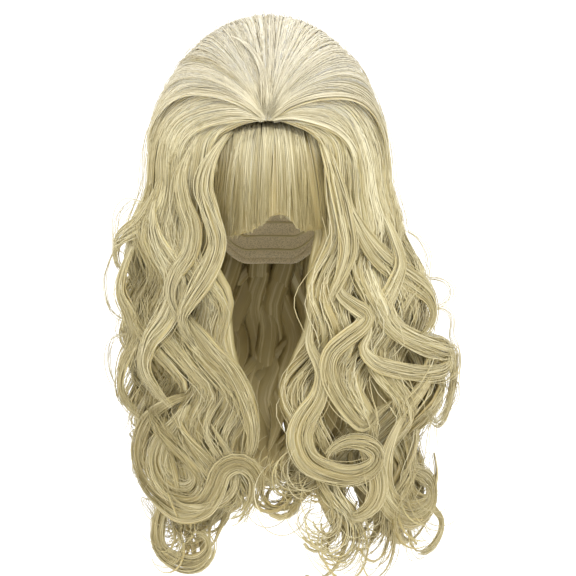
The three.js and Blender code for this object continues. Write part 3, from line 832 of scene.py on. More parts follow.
def closed_shell(name, outer, inner, material, shade):
    """A closed wall whose outside and inside are grids of the same size."""
    rows = np.concatenate([outer, inner[::-1], outer[:1]], axis=0)
    count, columns, _ = rows.shape
    index = np.arange(count * columns).reshape(count, columns)
    corners = [index[:-1, :-1], index[1:, :-1], index[1:, 1:], index[:-1, 1:]]
    faces = np.stack(corners, axis=-1).reshape(-1, 4)
    mesh = bpy.data.meshes.new(name)
    mesh.from_pydata(rows.reshape(-1, 3).tolist(), [], faces.tolist())
    store(mesh, "shade", np.concatenate([shade, shade[::-1], shade[:1]], axis=0))
    store(mesh, "ash_and_light", ash_and_top_light(rows))
    u, v = np.meshgrid(np.arange(columns) / (columns - 1), np.arange(count) / (count - 1))
    u, v = u.ravel()[faces.ravel()], v.ravel()[faces.ravel()]
    write_map(mesh, "OFBake", u, v)
    write_map(mesh, "flow", u * columns * SHELL_GRAIN, v * SHELL_LENGTH)
    mesh.materials.append(material)
    shade_smooth(mesh)

    work = bmesh.new()
    work.from_mesh(mesh)
    bmesh.ops.remove_doubles(work, verts=work.verts, dist=1e-6)
    bmesh.ops.holes_fill(work, edges=[e for e in work.edges if e.is_boundary], sides=0)
    bmesh.ops.recalc_face_normals(work, faces=work.faces)
    work.to_mesh(mesh)
    work.free()
    return mesh


def share_atlas(meshes):
    """Gives each of the meshes its own band of the atlas, as high as its share of the faces."""
    counts = np.array([len(mesh.polygons) for mesh in meshes], float)
    edges = np.concatenate([[0], np.cumsum(counts) / np.sum(counts)])
    for mesh, low, high in zip(meshes, edges, edges[1:]):
        layer = mesh.uv_layers["OFBake"]
        pairs = np.empty(2 * len(mesh.loops), np.float32)
        layer.data.foreach_get("uv", pairs)
        pairs[1::2] = mix(low, high, (1 - BAND_HEIGHT) / 2 + BAND_HEIGHT * pairs[1::2])
        layer.data.foreach_set("uv", pairs)


def join(name, meshes, nodes):
    """Joins meshes into one piece that stands for CAD nodes and rides on the wig."""
    share_atlas(meshes)
    bpy.ops.object.select_all(action="DESELECT")
    for mesh in meshes:
        piece = bpy.data.objects.new(name, mesh)
        bpy.context.scene.collection.objects.link(piece)
        piece.select_set(True)
        if mesh is meshes[0]:
            bpy.context.view_layer.objects.active = piece
    if len(meshes) > 1:
        bpy.ops.object.join()
    piece = bpy.context.view_layer.objects.active
    piece.name = name
    piece.data.name = name
    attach(piece, "root")
    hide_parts(*nodes)
    return piece


# Materials

# What sets each hair material apart: how often it is streaked across and along, how strong its
# streaks are, how high its ridges stand, how rough it is, and how far light goes into it
HAIR_LOOK_COLUMNS = ("across", "along", "contrast", "ridge_height", "roughness", "translucency")
HAIR_LOOKS = {
    "Combed wisps": (13.0, 5.0, 1.25, 0.4 * MM, 0.34, 0.5),
    "Inner wisps": (4.5, 2.5, 5.0, 1.5 * MM, 0.45, 0.0),
    "Fine strands": (0.4, 3.0, 0.5, 0.1 * MM, 0.3, 0.0),
}
LIGHT_DEPTH = 3 * MM
LIGHT_DEPTH_BY_COLOUR = (1, 0.85, 0.5)
STREAK_DEPTH = 0.9
ASH_AND_LIGHT_STRENGTH = 0.8
NET_CELLS = 650
NET_SHADOW = (0.6, 0.6, 0.55, 1)
NET_EDGE = (0.1, 0.55)
NET_WEAVE = 0.3 * MM


def streak_group():
    """Shader group: streaks that run along the hair, as a factor for its colour and a height."""
    name = "Hair streaks"
    if name in bpy.data.node_groups:
        return bpy.data.node_groups[name]
    inputs = {"Across": ("Float", 14.0), "Along": ("Float", 1.6), "Contrast": ("Float", 1.0)}
    outputs = {"Factor": ("Float", None), "Height": ("Float", None)}
    tree, given = new_group(name, "ShaderNodeTree", inputs, outputs)
    flow = add(tree, "ShaderNodeUVMap", uv_map="flow").outputs[0]
    often = {"X": given["Across"], "Y": given["Along"], "Z": 1.0}
    scale = add(tree, "ShaderNodeCombineXYZ", often).outputs[0]
    place = add(tree, "ShaderNodeVectorMath", {0: flow, 1: scale}, operation="MULTIPLY").outputs[0]
    noise = {"Vector": place, "Scale": 1.0, "Detail": 4.0, "Roughness": 0.65}
    height = add(tree, "ShaderNodeTexNoise", noise).outputs[0]
    gain = maths(tree, "MULTIPLY", maths(tree, "SUBTRACT", height, 0.5), given["Contrast"])
    streak = maths(tree, "ADD", gain, 0.5, clamp=True)
    add(tree, "NodeGroupOutput", {"Factor": streak, "Height": height})
    return tree


def tint_group():
    """Shader group: the colour from the deep hair, which carries painted shade, to the top hair, ashier and
    lighter by height, partly as painted light.
    """
    name = "Hair tint"
    if name in bpy.data.node_groups:
        return bpy.data.node_groups[name]
    inputs = {label: ("Color", (0.5, 0.5, 0.5, 1)) for label in ("Deep", "Middle", "Light", "Ash and top light")}
    inputs["Streak"] = ("Float", 0.5)
    tree, given = new_group(name, "ShaderNodeTree", inputs, {"Colour": ("Color", None)})

    def blend(factor, first, second):
        return add(tree, "ShaderNodeMix", {0: factor, 6: first, 7: second}, data_type="RGBA").outputs[2]

    def reading(stored):
        return add(tree, "ShaderNodeAttribute", attribute_name=stored).outputs["Fac"]

    streak = maths(tree, "MULTIPLY", maths(tree, "SUBTRACT", given["Streak"], 0.5), STREAK_DEPTH)
    level = maths(tree, "ADD", reading("shade"), streak)
    lower = maths(tree, "MULTIPLY", level, 2.0, clamp=True)
    upper = maths(tree, "SUBTRACT", maths(tree, "MULTIPLY", level, 2.0), 1.0, clamp=True)
    body = blend(upper, blend(lower, given["Deep"], given["Middle"]), given["Light"])
    ashy_and_lit = blend(lower, given["Deep"], given["Ash and top light"])
    # How far the ashy, lighter crown colour takes over: partly the hair's tone, partly painted light on the
    # top
    share = maths(tree, "MULTIPLY", reading("ash_and_light"), ASH_AND_LIGHT_STRENGTH)
    add(tree, "NodeGroupOutput", {"Colour": blend(share, body, ashy_and_lit)})
    return tree


def new_material(name):
    """A new material, its node tree and its shader."""
    material = bpy.data.materials.new(name)
    material.use_nodes = True
    return material, material.node_tree, material.node_tree.nodes["Principled BSDF"]


def hair_material(name):
    """Satin hair with streaks along it, tinted by its depth in the mass and by its height: painted shade
    deep in the mass and lower down, and an ashier, lighter crown that is partly painted light.
    """
    if name in bpy.data.materials:
        return bpy.data.materials[name]
    look = dict(zip(HAIR_LOOK_COLUMNS, HAIR_LOOKS[name]))
    colours = bpy.context.scene.wig_colours
    material, tree, shader = new_material(name)
    streaks = add(tree, "ShaderNodeGroup", {
        "Across": look["across"],
        "Along": look["along"],
        "Contrast": look["contrast"],
    }, node_tree=streak_group())
    tint = add(tree, "ShaderNodeGroup", {
        "Deep": colours.deep,
        "Middle": colours.middle,
        "Light": colours.light,
        "Ash and top light": colours.ash_and_light,
        "Streak": streaks.outputs["Factor"],
    }, node_tree=tint_group())
    height = {"Strength": 0.8, "Distance": look["ridge_height"], "Height": streaks.outputs["Height"]}
    fill(tree, shader, {
        "Base Color": tint.outputs["Colour"],
        "Normal": add(tree, "ShaderNodeBump", height).outputs["Normal"],
        "Roughness": look["roughness"],
        "Specular IOR Level": 0.5,
        "Subsurface Weight": look["translucency"],
        "Subsurface Radius": LIGHT_DEPTH_BY_COLOUR,
        "Subsurface Scale": LIGHT_DEPTH,
    })
    return material


def net_material():
    """Soft net with a fine weave."""
    name = "Cap net"
    if name in bpy.data.materials:
        return bpy.data.materials[name]
    material, tree, shader = new_material(name)
    place = add(tree, "ShaderNodeTexCoord").outputs["Object"]
    weave = add(tree, "ShaderNodeTexVoronoi", {"Vector": place, "Scale": NET_CELLS}).outputs["Distance"]
    ramp = add(tree, "ShaderNodeValToRGB", {"Fac": weave})
    base = np.array(bpy.context.scene.wig_colours.cap)
    low, high = ramp.color_ramp.elements
    low.position, high.position = NET_EDGE
    low.color, high.color = base * NET_SHADOW, base
    bump = add(tree, "ShaderNodeBump", {"Distance": NET_WEAVE, "Height": weave})
    fill(tree, shader, {
        "Base Color": ramp.outputs["Color"],
        "Normal": bump.outputs["Normal"],
        "Roughness": 0.8,
    })
    return material


# Properties


def length_property(label, text, default):
    return bpy.props.FloatProperty(name=label, description=text, default=default, unit="LENGTH", precision=4)


def count_property(label, text, default):
    return bpy.props.IntProperty(name=label, description=text, default=default, min=0)


def factor_property(label, text, default):
    return bpy.props.FloatProperty(name=label, description=text, default=default, subtype="FACTOR")


def colour_property(label, text, default):
    return bpy.props.FloatVectorProperty(
        name=label, description=text, default=(*default, 1), size=4, subtype="COLOR", min=0, max=1
    )


class WigCurls(bpy.types.PropertyGroup):
    radius: length_property("Curl radius", "How far a lock swings from its own middle", 18.5 * MM)
    pitch: length_property("Curl pitch", "Height of one turn of a curl", 116 * MM)
    onset: length_property("Curl onset", "Drop below the waist over which the curls open up", 140 * MM)
    depth: factor_property("Curl depth", "Swing in and out against sideways", 0.6)
    clump: factor_property("Clump", "How far a lock draws together towards its tip", 0.45)


class WigStrands(bpy.types.PropertyGroup):
    top_wisps: count_property("Top wisps", "Wisps of a lock on the outside", 9)
    under_wisps: count_property("Under wisps", "Wisps of a lock beneath", 7)
    inner_wisps: count_property("Inner wisps", "Wisps of a lock inside", 3)
    fine: count_property("Fine strands", "Single strands over each wisp", 7)
    fine_under: count_property("Fine strands beneath", "Single strands over each wisp beneath, in front", 4)
    fine_behind: count_property("Fine strands behind", "Single strands over each wisp at the back", 5)
    crown_wisps: count_property("Crown wisps", "Wisps over the bouffant", 150)
    crown_strands: count_property("Crown strands", "Single strands over the bouffant", 460)
    fringe: count_property("Fringe strands", "Single strands of the fringe", 400)
    wefts: count_property("Wefts", "Rows of weft inside the cap", 10)
    flyaways: count_property("Flyaways", "Loose hairs beside each lock", 4)
    wisp_width: length_property("Wisp width", "Half the width of a wisp", 5 * MM)
    strand_radius: length_property("Strand radius", "Radius of a fine strand", 0.55 * MM)
    seed: count_property("Seed", "Seed of the random draws for the locks and the fringe", 7)


class WigColours(bpy.types.PropertyGroup):
    # Deep: the colour that painted shade between and beneath the locks and lower down runs to, as well as
    # the darkest hairs
    deep: colour_property("Deep", "Hair between the locks", (0.4, 0.32, 0.135))
    middle: colour_property("Middle", "Most of the hair", (0.61, 0.525, 0.28))
    light: colour_property("Light", "The lightest strands", (0.88, 0.81, 0.55))
    # The ashy tone high on the crown, made lighter as painted light on the top
    ash_and_light: colour_property("Ash and top light", "Hair high on the crown", (0.77, 0.715, 0.575))
    cap: colour_property("Cap", "The net of the cap", (0.88, 0.78, 0.55))


class WigStage(bpy.types.PropertyGroup):
    distance: length_property("Camera distance", "From the camera to the point it looks at", 1.6)
    elevation: bpy.props.FloatProperty(
        name="Camera elevation", description="Above the horizon", default=8 * DEGREE, subtype="ANGLE"
    )
    aim: bpy.props.FloatVectorProperty(
        name="Camera aim",
        description="The point that the camera looks at",
        default=(0.0224, 0, -0.1823),
        size=3,
        subtype="TRANSLATION",
    )
    focal: bpy.props.FloatProperty(
        name="Focal length", description="In millimetres", default=86.96, unit="CAMERA"
    )


# Locks

# The layers of a lock: where its wisps start on the way from the parting, how deep they lie, how
# light they are, how wide they are against a usual wisp, and how many steps they take
LAYER_COLUMNS = ("start", "depth", "level", "wide", "steps")
# Painted shade: wisps are darker than the fine strands over them, and the under and inner layers darker
# still, as hair deep in the mass is shaded
LAYERS = {
    "top": ((0.006, 0.03), (0.6, 1.0), (0.28, 0.58), 1.0, 48),
    "under": ((0.72, 0.85), (-0.3, 0.4), (0.15, 0.45), 1.6, 36),
    "inner": ((0.85, 0.9), (-1.0, -0.5), (0.16, 0.36), 2.8, 30),
}
INNER_CURL = 0.35
INNER_SPREAD_BEHIND = 1.7
INNER_SPREAD_AHEAD = 0.7
SPREAD_POWER = 0.85
WISP_SIDES = 6
WISP_FLATNESS = 0.34
WISP_RIDGES = 0.07
WISP_TIP = 0.16
STRAND_SIDES = 3
STRAND_STEPS = 40
STRAND_TIP = 0.35
STRAND_LEVEL = (0.38, 0.98)
ASTRAY = 0.3
TONE_STRENGTH = 0.14
LOOSE_LEVEL = (0.4, 0.8)
LOOSE_STEPS = 36
LOOSE_RADIUS = 0.6

# Led locks and loose loops: how many wisps or hairs they have, the width in millimetres up to
# which a lock is narrow, how light they are, and their sizes against the usual ones
LED_WISPS = 6
NARROW_LOCK = 10
NARROW_LOCK_WISPS = 4
# Painted shade: the wisps of a led lock are darker than the strands that lie over them
LED_LEVEL = (0.3, 0.6)
LED_STRAND_LEVEL = (0.4, 1.0)
LED_RADIUS = 0.85
LED_OVERLAP = 0.85
LOOP_HAIRS = 5
LOOP_STEPS = 30
LOOP_RADIUS = 0.75
LOOP_CLOSING = 0.4


def draw(random, count):
    """What every hair has of its own, apart from its place in its lock."""
    return {
        "loose": random.uniform(0.3, 1.0, count),
        "lift": np.zeros(count),
        "stray_rate": random.uniform(28, 60, count),
        "stray_phase": random.uniform(0, 2 * math.pi, count),
    }


def lock_wisps(row, count, random, start, depth):
    """One array for each column of hair_paths, for the wisps of one lock."""
    lock = dict(zip(LOCK_COLUMNS, row))
    side = np.linspace(-1, 1, count) + random.normal(0, 0.1, count)
    wisps = {
        "tip": lock["tip"] * (1 - random.uniform(0.03, 0.12, count)),
        "curl": lock["curl"] * random.normal(1, 0.12, count),
        "pitch": random.normal(1, 0.018, count),
        "shift": 0.5 * side + random.normal(0, 0.16, count),
        "side": side,
        "depth": random.uniform(*depth, count),
        "start": random.uniform(*start, count),
        "hook": lock["hook"] * MM * random.normal(1, 0.16, count),
        "hook_turn": lock["hook_turn"] * random.uniform(0.35, 0.8, count),
    }
    for name in ("waist", "end", "phase", "turn"):
        wisps[name] = np.full(count, lock[name])
    return {**wisps, **draw(random, count)}


def section_wisps(name, count, random, start, depth):
    """One array for each column of hair_paths, for the wisps of all the locks of a section."""
    locks = [lock_wisps(row, count, random, start, depth) for row in LOCKS[name]]
    return {column: np.concatenate([lock[column] for lock in locks]) for column in locks[0]}


def strands_over(wisps, each, random):
    """Fine strands that lie over wisps and follow them, and a share that strays from them."""
    count = len(wisps["side"]) * each
    fine = {name: np.repeat(values, each) for name, values in wisps.items()}
    astray = random.random(count) < ASTRAY
    fine.update(draw(random, count))
    fine["loose"] = np.where(astray, 2.1, 0.45) * random.uniform(0.6, 1.2, count)
    fine["lift"] = random.uniform(1.6 * MM, 3.4 * MM, count)
    fine["side"] = fine["side"] + random.normal(0, 0.17, count) * np.where(astray, 2, 1)
    if "tip" in fine:
        fine["shift"] = fine["shift"] + random.normal(0, 1, count) * np.where(astray, 0.5, 0.06)
        fine["tip"] = fine["tip"] * random.uniform(0.9, 1.02, count)
        fine["hook"] = fine["hook"] * random.normal(1, 0.14, count)
        fine["hook_turn"] = fine["hook_turn"] * random.uniform(0.75, 1.1, count)
        fine["start"] = np.clip(fine["start"] + random.uniform(-0.02, 0.08, count), 0.012, 1)
    return fine


def wisp_mesh(paths, spread, width, shade, flatness=WISP_FLATNESS, ridges=WISP_RIDGES, look="Combed wisps"):
    """Wisps that start narrow and taper to their tips."""
    along = paths[2]
    taper = mix(1.0, WISP_TIP, smooth((along - 0.6) / 0.4)) * smooth((along + 0.03) / 0.06)
    grain = width / bpy.context.scene.wig_strands.wisp_width
    size = width * spread * taper
    return swept(paths, size, shade, hair_material(look), WISP_SIDES, flatness, ridges, grain)


def strand_mesh(paths, share, shade):
    """Fine strands, with a share of the usual radius."""
    along = paths[2]
    radius = share * bpy.context.scene.wig_strands.strand_radius
    taper = np.minimum(smooth((along + 0.01) / 0.04), mix(1.0, STRAND_TIP, smooth((along - 0.8) / 0.2)))
    return swept(paths, radius * taper, shade, hair_material("Fine strands"), STRAND_SIDES,
                 flatness=1.0, ridges=0.0)


def tone(degrees):
    """Broad bands of lighter and darker hair round the head, from -1 to 1."""
    turns = degrees * DEGREE
    return (np.sin(7 * turns + 0.6) + np.sin(13 * turns + 2.1) + np.sin(23 * turns + 4)) / 2.2


def shades(hairs, random, low, high):
    """The shade of each hair: drawn, and banded where hairs know their azimuth."""
    level = random.uniform(low, high, len(hairs["side"]))
    if "waist" in hairs:
        level = level + TONE_STRENGTH * tone(hairs["waist"] + hairs["side"] * LOCK_HALF_ANGLE)
    return level


def led_lock(knots, width, random, count, each=6, flatness=0.36, thickness=LED_THICKNESS, closing=0.3):
    """Wisps and fine strands of a lock that is led through a few points."""
    wisps = {
        "side": np.linspace(-0.85, 0.85, count) + random.normal(0, 0.06, count),
        "depth": random.uniform(-0.8, 0.8, count),
        "from": random.uniform(0, 0.05, count),
        "to": random.uniform(0.9, 1, count),
        **draw(random, count),
    }
    steps = 3 * len(knots) + 8
    paths = led_paths(knots, width, thickness * width, closing, wisps, steps)
    narrow = mix(0.4, 1, smooth(paths[2] / 0.3))
    own = random.normal(0, 0.07)
    shade = shades(wisps, random, *LED_LEVEL) + own
    meshes = [wisp_mesh(paths, narrow, width / count * LED_OVERLAP, shade, flatness)]
    fine = strands_over(wisps, each, random)
    paths = led_paths(knots, width, thickness * width, closing, fine, steps)
    meshes.append(strand_mesh(paths, LED_RADIUS, shades(fine, random, *LED_STRAND_LEVEL) + own))
    return meshes


def loose_loop(points, random):
    """A few single hairs that stand off the mass together, through a few points."""
    knots = np.array([(x, z, 0) for x, z in points], float)
    knots[[0, -1], 2] = LOOP_ROOT
    hairs = {
        "side": random.normal(0, 1, LOOP_HAIRS),
        "depth": random.normal(0, 1, LOOP_HAIRS),
        "from": random.uniform(0, 0.08, LOOP_HAIRS),
        "to": random.uniform(0.8, 1, LOOP_HAIRS),
        **draw(random, LOOP_HAIRS),
    }
    paths = led_paths(mass_points(knots), LOOP_WIDTH, LOOP_WIDTH, LOOP_CLOSING, hairs, LOOP_STEPS)
    return strand_mesh(paths, LOOP_RADIUS, shades(hairs, random, *LOOSE_LEVEL))


def section(name, seed, each, each_under=0):
    """All the hair of one section of locks, joined in one piece.

    each and each_under say how many fine strands lie over a wisp of the top and the under layer.
    """
    strands = bpy.context.scene.wig_strands
    random = np.random.default_rng(strands.seed * 100 + seed)
    counts = {"top": strands.top_wisps, "under": strands.under_wisps, "inner": strands.inner_wisps}
    lying = {"top": each, "under": each_under, "inner": 0}
    meshes = []
    for label, row in LAYERS.items():
        layer = dict(zip(LAYER_COLUMNS, row))
        hairs = section_wisps(name, counts[label], random, layer["start"], layer["depth"])
        look = "Combed wisps"
        if label == "inner":
            behind = np.abs(hairs["waist"]) > 90
            hairs["curl"] = hairs["curl"] * INNER_CURL
            hairs["side"] = hairs["side"] * np.where(behind, INNER_SPREAD_BEHIND, INNER_SPREAD_AHEAD)
            look = "Inner wisps"
        *paths, spread = hair_paths(hairs, layer["steps"])
        shade = shades(hairs, random, *layer["level"])
        width = strands.wisp_width * layer["wide"]
        meshes.append(wisp_mesh(paths, spread ** SPREAD_POWER, width, shade, look=look))
        if lying[label]:
            fine = strands_over(hairs, lying[label], random)
            *paths, _ = hair_paths(fine, STRAND_STEPS)
            meshes.append(strand_mesh(paths, 1.0, shades(fine, random, *STRAND_LEVEL)))
    for owner, width, points in LED_LOCKS.values():
        if owner == name:
            count = LED_WISPS if width > NARROW_LOCK else NARROW_LOCK_WISPS
            meshes += led_lock(mass_points(points), width * MM, random, count)
    meshes += [loose_loop(points, random) for owner, points in LOOPS if owner == name]
    loose = section_wisps(name, strands.flyaways, random, start=(0.4, 0.8), depth=(0.9, 1.3))
    loose["loose"] = random.uniform(1.5, 4, len(loose["side"]))
    loose["lift"] = random.uniform(2 * MM, 6 * MM, len(loose["side"]))
    *paths, _ = hair_paths(loose, LOOSE_STEPS)
    meshes.append(strand_mesh(paths, LOOSE_RADIUS, shades(loose, random, *LOOSE_LEVEL)))
    return join(name + "_hair", meshes, [name])


class WIG_OT_curtains(bpy.types.Operator):
    """Dress the curtains of hair on both sides of the face"""

    bl_idname = "wig.curtains"
    bl_label = "Curtains"

    def execute(self, context):
        strands = context.scene.wig_strands
        section("right_curtain", 1, strands.fine, strands.fine_under)
        section("left_curtain", 2, strands.fine, strands.fine_under)
        return {"FINISHED"}


class WIG_OT_side_curls(bpy.types.Operator):
    """Dress the curls over the ears"""

    bl_idname = "wig.side_curls"
    bl_label = "Side curls"

    def execute(self, context):
        strands = context.scene.wig_strands
        section("right_side_curls", 3, strands.fine)
        section("left_side_curls", 4, strands.fine)
        return {"FINISHED"}


class WIG_OT_back_curls(bpy.types.Operator):
    """Dress the curls behind the ears and down the nape"""

    bl_idname = "wig.back_curls"
    bl_label = "Back curls"

    def execute(self, context):
        strands = context.scene.wig_strands
        section("right_back_curls", 5, strands.fine_behind)
        section("left_back_curls", 6, strands.fine_behind)
        section("nape_curls", 7, strands.fine_behind)
        return {"FINISHED"}


# Crown

CROWN_SEED = 3
CROWN_SINK = 2.5 * MM
CROWN_STEPS = 24
CROWN_WISP_WIDTH = 5.2 * MM
CROWN_WISP_FLATNESS = 0.16
CROWN_WISP_RIDGES = 0.06
CROWN_STRAND_RADIUS = 0.9
# Painted shade: the crown's wisps are darker than the strands that lie over them
CROWN_WISP_LEVEL = (0.3, 0.6)
CROWN_STRAND_LEVEL = (0.4, 1.1)
SHELL_FANS = 170
SHELL_STEPS = 24
SHELL_SINK = 4 * MM
SHELL_RELIEF = 0.8 * MM
SHELL_ROOT_SINK = 0.3 * MM
SHELL_LEAST_WALL = 1 * MM
SHELL_WALL = 12 * MM
SHELL_RISE = 0.3
SHELL_THINNING = 25
SHELL_ROOT = 0.004
SHELL_SHADE = 0.32
SHELL_PAINTED_RELIEF_LIGHT = 0.1
SWEPT_KNOTS = 9


def bouffant_shell(random):
    """The wall beneath the combed wisps, thin at the parting and beside the face."""
    azimuth = np.linspace(CURTAIN_AZIMUTH, 360 - CURTAIN_AZIMUTH, SHELL_FANS)[None, :] * DEGREE
    share = np.linspace(SHELL_ROOT, 1, SHELL_STEPS)[:, None]
    points = combed_points(azimuth + 0 * share, share + 0 * azimuth)
    away = unit(points - HAIR_CORE)
    relief = np.convolve(random.normal(0, 1, SHELL_FANS), np.ones(3) / 3, mode="same")[None, :]
    risen = smooth(share / SHELL_RISE)
    height = (SHELL_RELIEF * relief - SHELL_SINK) * risen - SHELL_ROOT_SINK
    outer = points + away * height[..., None]
    turn = np.arccos(np.clip(np.cos(azimuth), -1, 1)) / DEGREE
    wall = SHELL_LEAST_WALL + SHELL_WALL * risen * smooth((turn - CURTAIN_AZIMUTH) / SHELL_THINNING)
    inner = outer - away * wall[..., None]
    # Painted light and shade: the wall is lighter where its relief stands out and darker where it sinks
    shade = SHELL_SHADE + SHELL_PAINTED_RELIEF_LIGHT * relief + 0 * share
    return closed_shell("bouffant", outer, inner, hair_material("Combed wisps"), shade)


def crown_hairs(count, random, latest, low, high):
    """One array for each column of crown_part, for hair all over the bouffant.

    latest is the last share at which a hair comes out; low and high are its height in millimetres.
    """
    turn = np.linspace(CURTAIN_AZIMUTH, 360 - CURTAIN_AZIMUTH, count) + random.normal(0, 1.5, count)
    return {
        **draw(random, count),
        "waist": (turn + 180) % 360 - 180,
        "side": np.zeros(count),
        "depth": np.ones(count),
        "lift": (random.uniform(low, high, count) + low * 3 * (random.random(count) < 0.1)) * MM,
        "start": latest * random.random(count) ** 2 + 0.008,
        "stop": random.uniform(0.7, 1.02, count),
        "drift": random.normal(0, 5, count),
    }


def crown_paths(hairs):
    """Paths of hairs that lie on the bouffant, drift aside and sink in again at their ends.

    Returns points, outward directions, the share of the length, and how far apart neighbours lie.
    """
    hair = {name: np.asarray(values, float)[:, None] for name, values in hairs.items()}
    along = np.linspace(0, 1, CROWN_STEPS)[None, :] + 0 * hair["waist"]
    hair["waist"] = hair["waist"] + hair["drift"] * along ** 2
    hair["lift"] = hair["lift"] - CROWN_SINK * along ** 4
    share = mix(hair["start"], hair["stop"], along)
    points, outward = crown_part(hair, np.minimum(share, 1))
    points[..., 2] -= np.maximum(share - 1, 0) * CROWN_PATH
    return points, outward, along, np.clip(share * 1.6, 0.1, 1)


def swept_knots(azimuth, share, end_azimuth, end_share, out):
    """Points over the crown from one place to another, sunk in at both ends."""
    turn = (end_azimuth - azimuth + 180) % 360 - 180
    along = np.linspace(0, 1, SWEPT_KNOTS)
    there = combed_points((azimuth + turn * along) * DEGREE, mix(share, end_share, along))
    lift = (out * np.sin(math.pi * along) - 4 * along ** 3 - 3 * (1 - along) ** 6) * MM
    return there + unit(there - HAIR_CORE) * lift[:, None]


class WIG_OT_crown(bpy.types.Operator):
    """Build the bouffant and comb its wisps, strands and swept bundles over it"""

    bl_idname = "wig.crown"
    bl_label = "Crown"

    def execute(self, context):
        strands = context.scene.wig_strands
        random = np.random.default_rng(CROWN_SEED)
        meshes = [bouffant_shell(random)]
        hairs = crown_hairs(strands.crown_wisps, random, latest=0.25, low=0.0, high=1.0)
        *paths, spread = crown_paths(hairs)
        shade = shades(hairs, random, *CROWN_WISP_LEVEL)
        swell = 0.35 + 0.65 * np.sin(math.pi * paths[2]) ** 0.7
        meshes.append(wisp_mesh(paths, swell * spread ** 0.5, CROWN_WISP_WIDTH, shade,
                                CROWN_WISP_FLATNESS, CROWN_WISP_RIDGES))
        hairs = crown_hairs(strands.crown_strands, random, latest=0.35, low=1.0, high=2.4)
        *paths, _ = crown_paths(hairs)
        shade = shades(hairs, random, *CROWN_STRAND_LEVEL)
        meshes.append(strand_mesh(paths, CROWN_STRAND_RADIUS, shade))
        for *place, width in SWEPT:
            meshes += led_lock(swept_knots(*place), width * MM, random, count=7, each=5,
                               flatness=0.15, thickness=0.06, closing=1.0)
        join("bouffant", meshes, ["crown_hair"])
        return {"FINISHED"}


# Fringe

FRINGE_SEED = 9
FRINGE_STEPS = 20
FRINGE_SHELL_COLUMNS = 90
FRINGE_SHELL_ROWS = 24
FRINGE_SHELL_SINK = 2.2
FRINGE_SHELL_REACH = 0.97
FRINGE_WALL_AT_ROOT = 5
FRINGE_WALL_AT_HEM = 0.8
FRINGE_WISP_WIDTH = 3.4 * MM
FRINGE_WISP_FLATNESS = 0.3
FRINGE_WISP_RIDGES = 0.08
FRINGE_STRAND_RADIUS = 0.9
FRINGE_STRAND_LEVEL = (0.45, 1.05)
FRINGE_SWAY = 0.028
FRINGE_GATHERING = (1.2, 0.75)
FRINGE_STRAND_SHADOW = 1.3
# How its sheet is shaped beside the notch, at the hem and from the root on
PUSH_FADE = 0.7
PUSH_POWER = 2.2
LOBE_FROM = 8 * MM
LOBE_OVER = 40 * MM
TUCK_FROM = 0.8
TUCK_OVER = 0.2
BEND_RATE = 1.4
SIDE_TURN = 0.5
ROOT_TILT = 0.2
# How much painted shadow darkens it at the hem, the sides and the root under the arch, and how near the root
HEM_SHADOW = 0.32
SIDE_SHADOW = 0.45
ROOT_SHADOW = 0.3
ROOT_SHADOW_REACH = 0.12
# Its layers: how deep they lie in millimetres, their wisps in each bunch, and how light they are, the deeper
# one darker as painted shade
FRINGE_LAYERS = (
    (2.6, 1, (0.3, 0.5)),
    (1.2, 2, (0.42, 0.7)),
)


def fringe_points(x, share, reach):
    """Points on the fringe's front, at x on its hem's scale and a share of the way down."""
    rest = 1 - share
    half = mix(FRINGE_ROOT_WIDTH, FRINGE_WIDTH, share) / 2
    across = 2 * x / FRINGE_WIDTH
    sides = across * across
    width = np.where(x < NOTCH_OFFSET, NOTCH_RIGHT_WIDTH, NOTCH_LEFT_WIDTH)
    from_notch = (x - NOTCH_OFFSET) / width
    push = NOTCH_PUSH * np.tanh(2 * from_notch) * np.exp(-PUSH_FADE * np.abs(from_notch))
    push = push * share ** PUSH_POWER
    notch = NOTCH_RISE * np.exp(-from_notch ** 2) - LOBE_DROP * smooth((-x - LOBE_FROM) / LOBE_OVER)
    hem = (-FRINGE_DROP + notch + HEM_ARCH * sides) * reach

    def curve(root, bulge, end):
        return rest * rest * root + 2 * share * rest * bulge + share * share * end

    forward = curve(FRINGE_ROOT_FORWARD, FRINGE_BULGE_FORWARD, FRINGE_FORWARD)
    forward = forward - HEM_TUCK * smooth((share - TUCK_FROM) / TUCK_OVER) ** 2
    z = curve(FRINGE_ROOT_RISE - ROOT_ARCH * sides, -FRINGE_BULGE_DROP, hem)
    points = np.stack([across * half + push, BROW_WRAP * sides * share - forward, z], axis=-1)
    bend = smooth(share * BEND_RATE)
    ahead = -mix(ROOT_TILT, 1, bend)
    facing = np.stack([SIDE_TURN * across * bend, ahead, 1 - bend + 0 * across], axis=-1)
    return points, unit(facing)


def fringe_shell():
    """The closed sheet behind the fringe's wisps, thick at its root and thin at its hem."""
    x = np.linspace(-1, 1, FRINGE_SHELL_COLUMNS)[None, :] * FRINGE_WIDTH / 2
    share = np.linspace(0, 1, FRINGE_SHELL_ROWS)[:, None]
    flat = 0 * x + 0 * share
    front, facing = fringe_points(x + flat, share + flat, flat + FRINGE_SHELL_REACH)
    outer = front - facing * FRINGE_SHELL_SINK * MM
    wall = mix(FRINGE_WALL_AT_ROOT, FRINGE_WALL_AT_HEM, share) * MM + flat
    inner = outer - facing * wall[..., None]
    # Painted shade: the sheet darkens towards the hem
    return closed_shell("fringe", outer, inner, hair_material("Combed wisps"), 0.3 - 0.3 * share + flat)


def fringe_bunches(random):
    """The middles of the fringe's bunches from -1 to 1, how each sways, and its shade."""
    return {
        "middle": np.linspace(-0.97, 0.97, BUNCHES) + random.normal(0, 0.012, BUNCHES),
        "sway": random.normal(0, 0.065, BUNCHES),
        "turn": random.uniform(1.8, 3.4, BUNCHES),
        "shade": random.normal(0, 0.09, BUNCHES),
    }


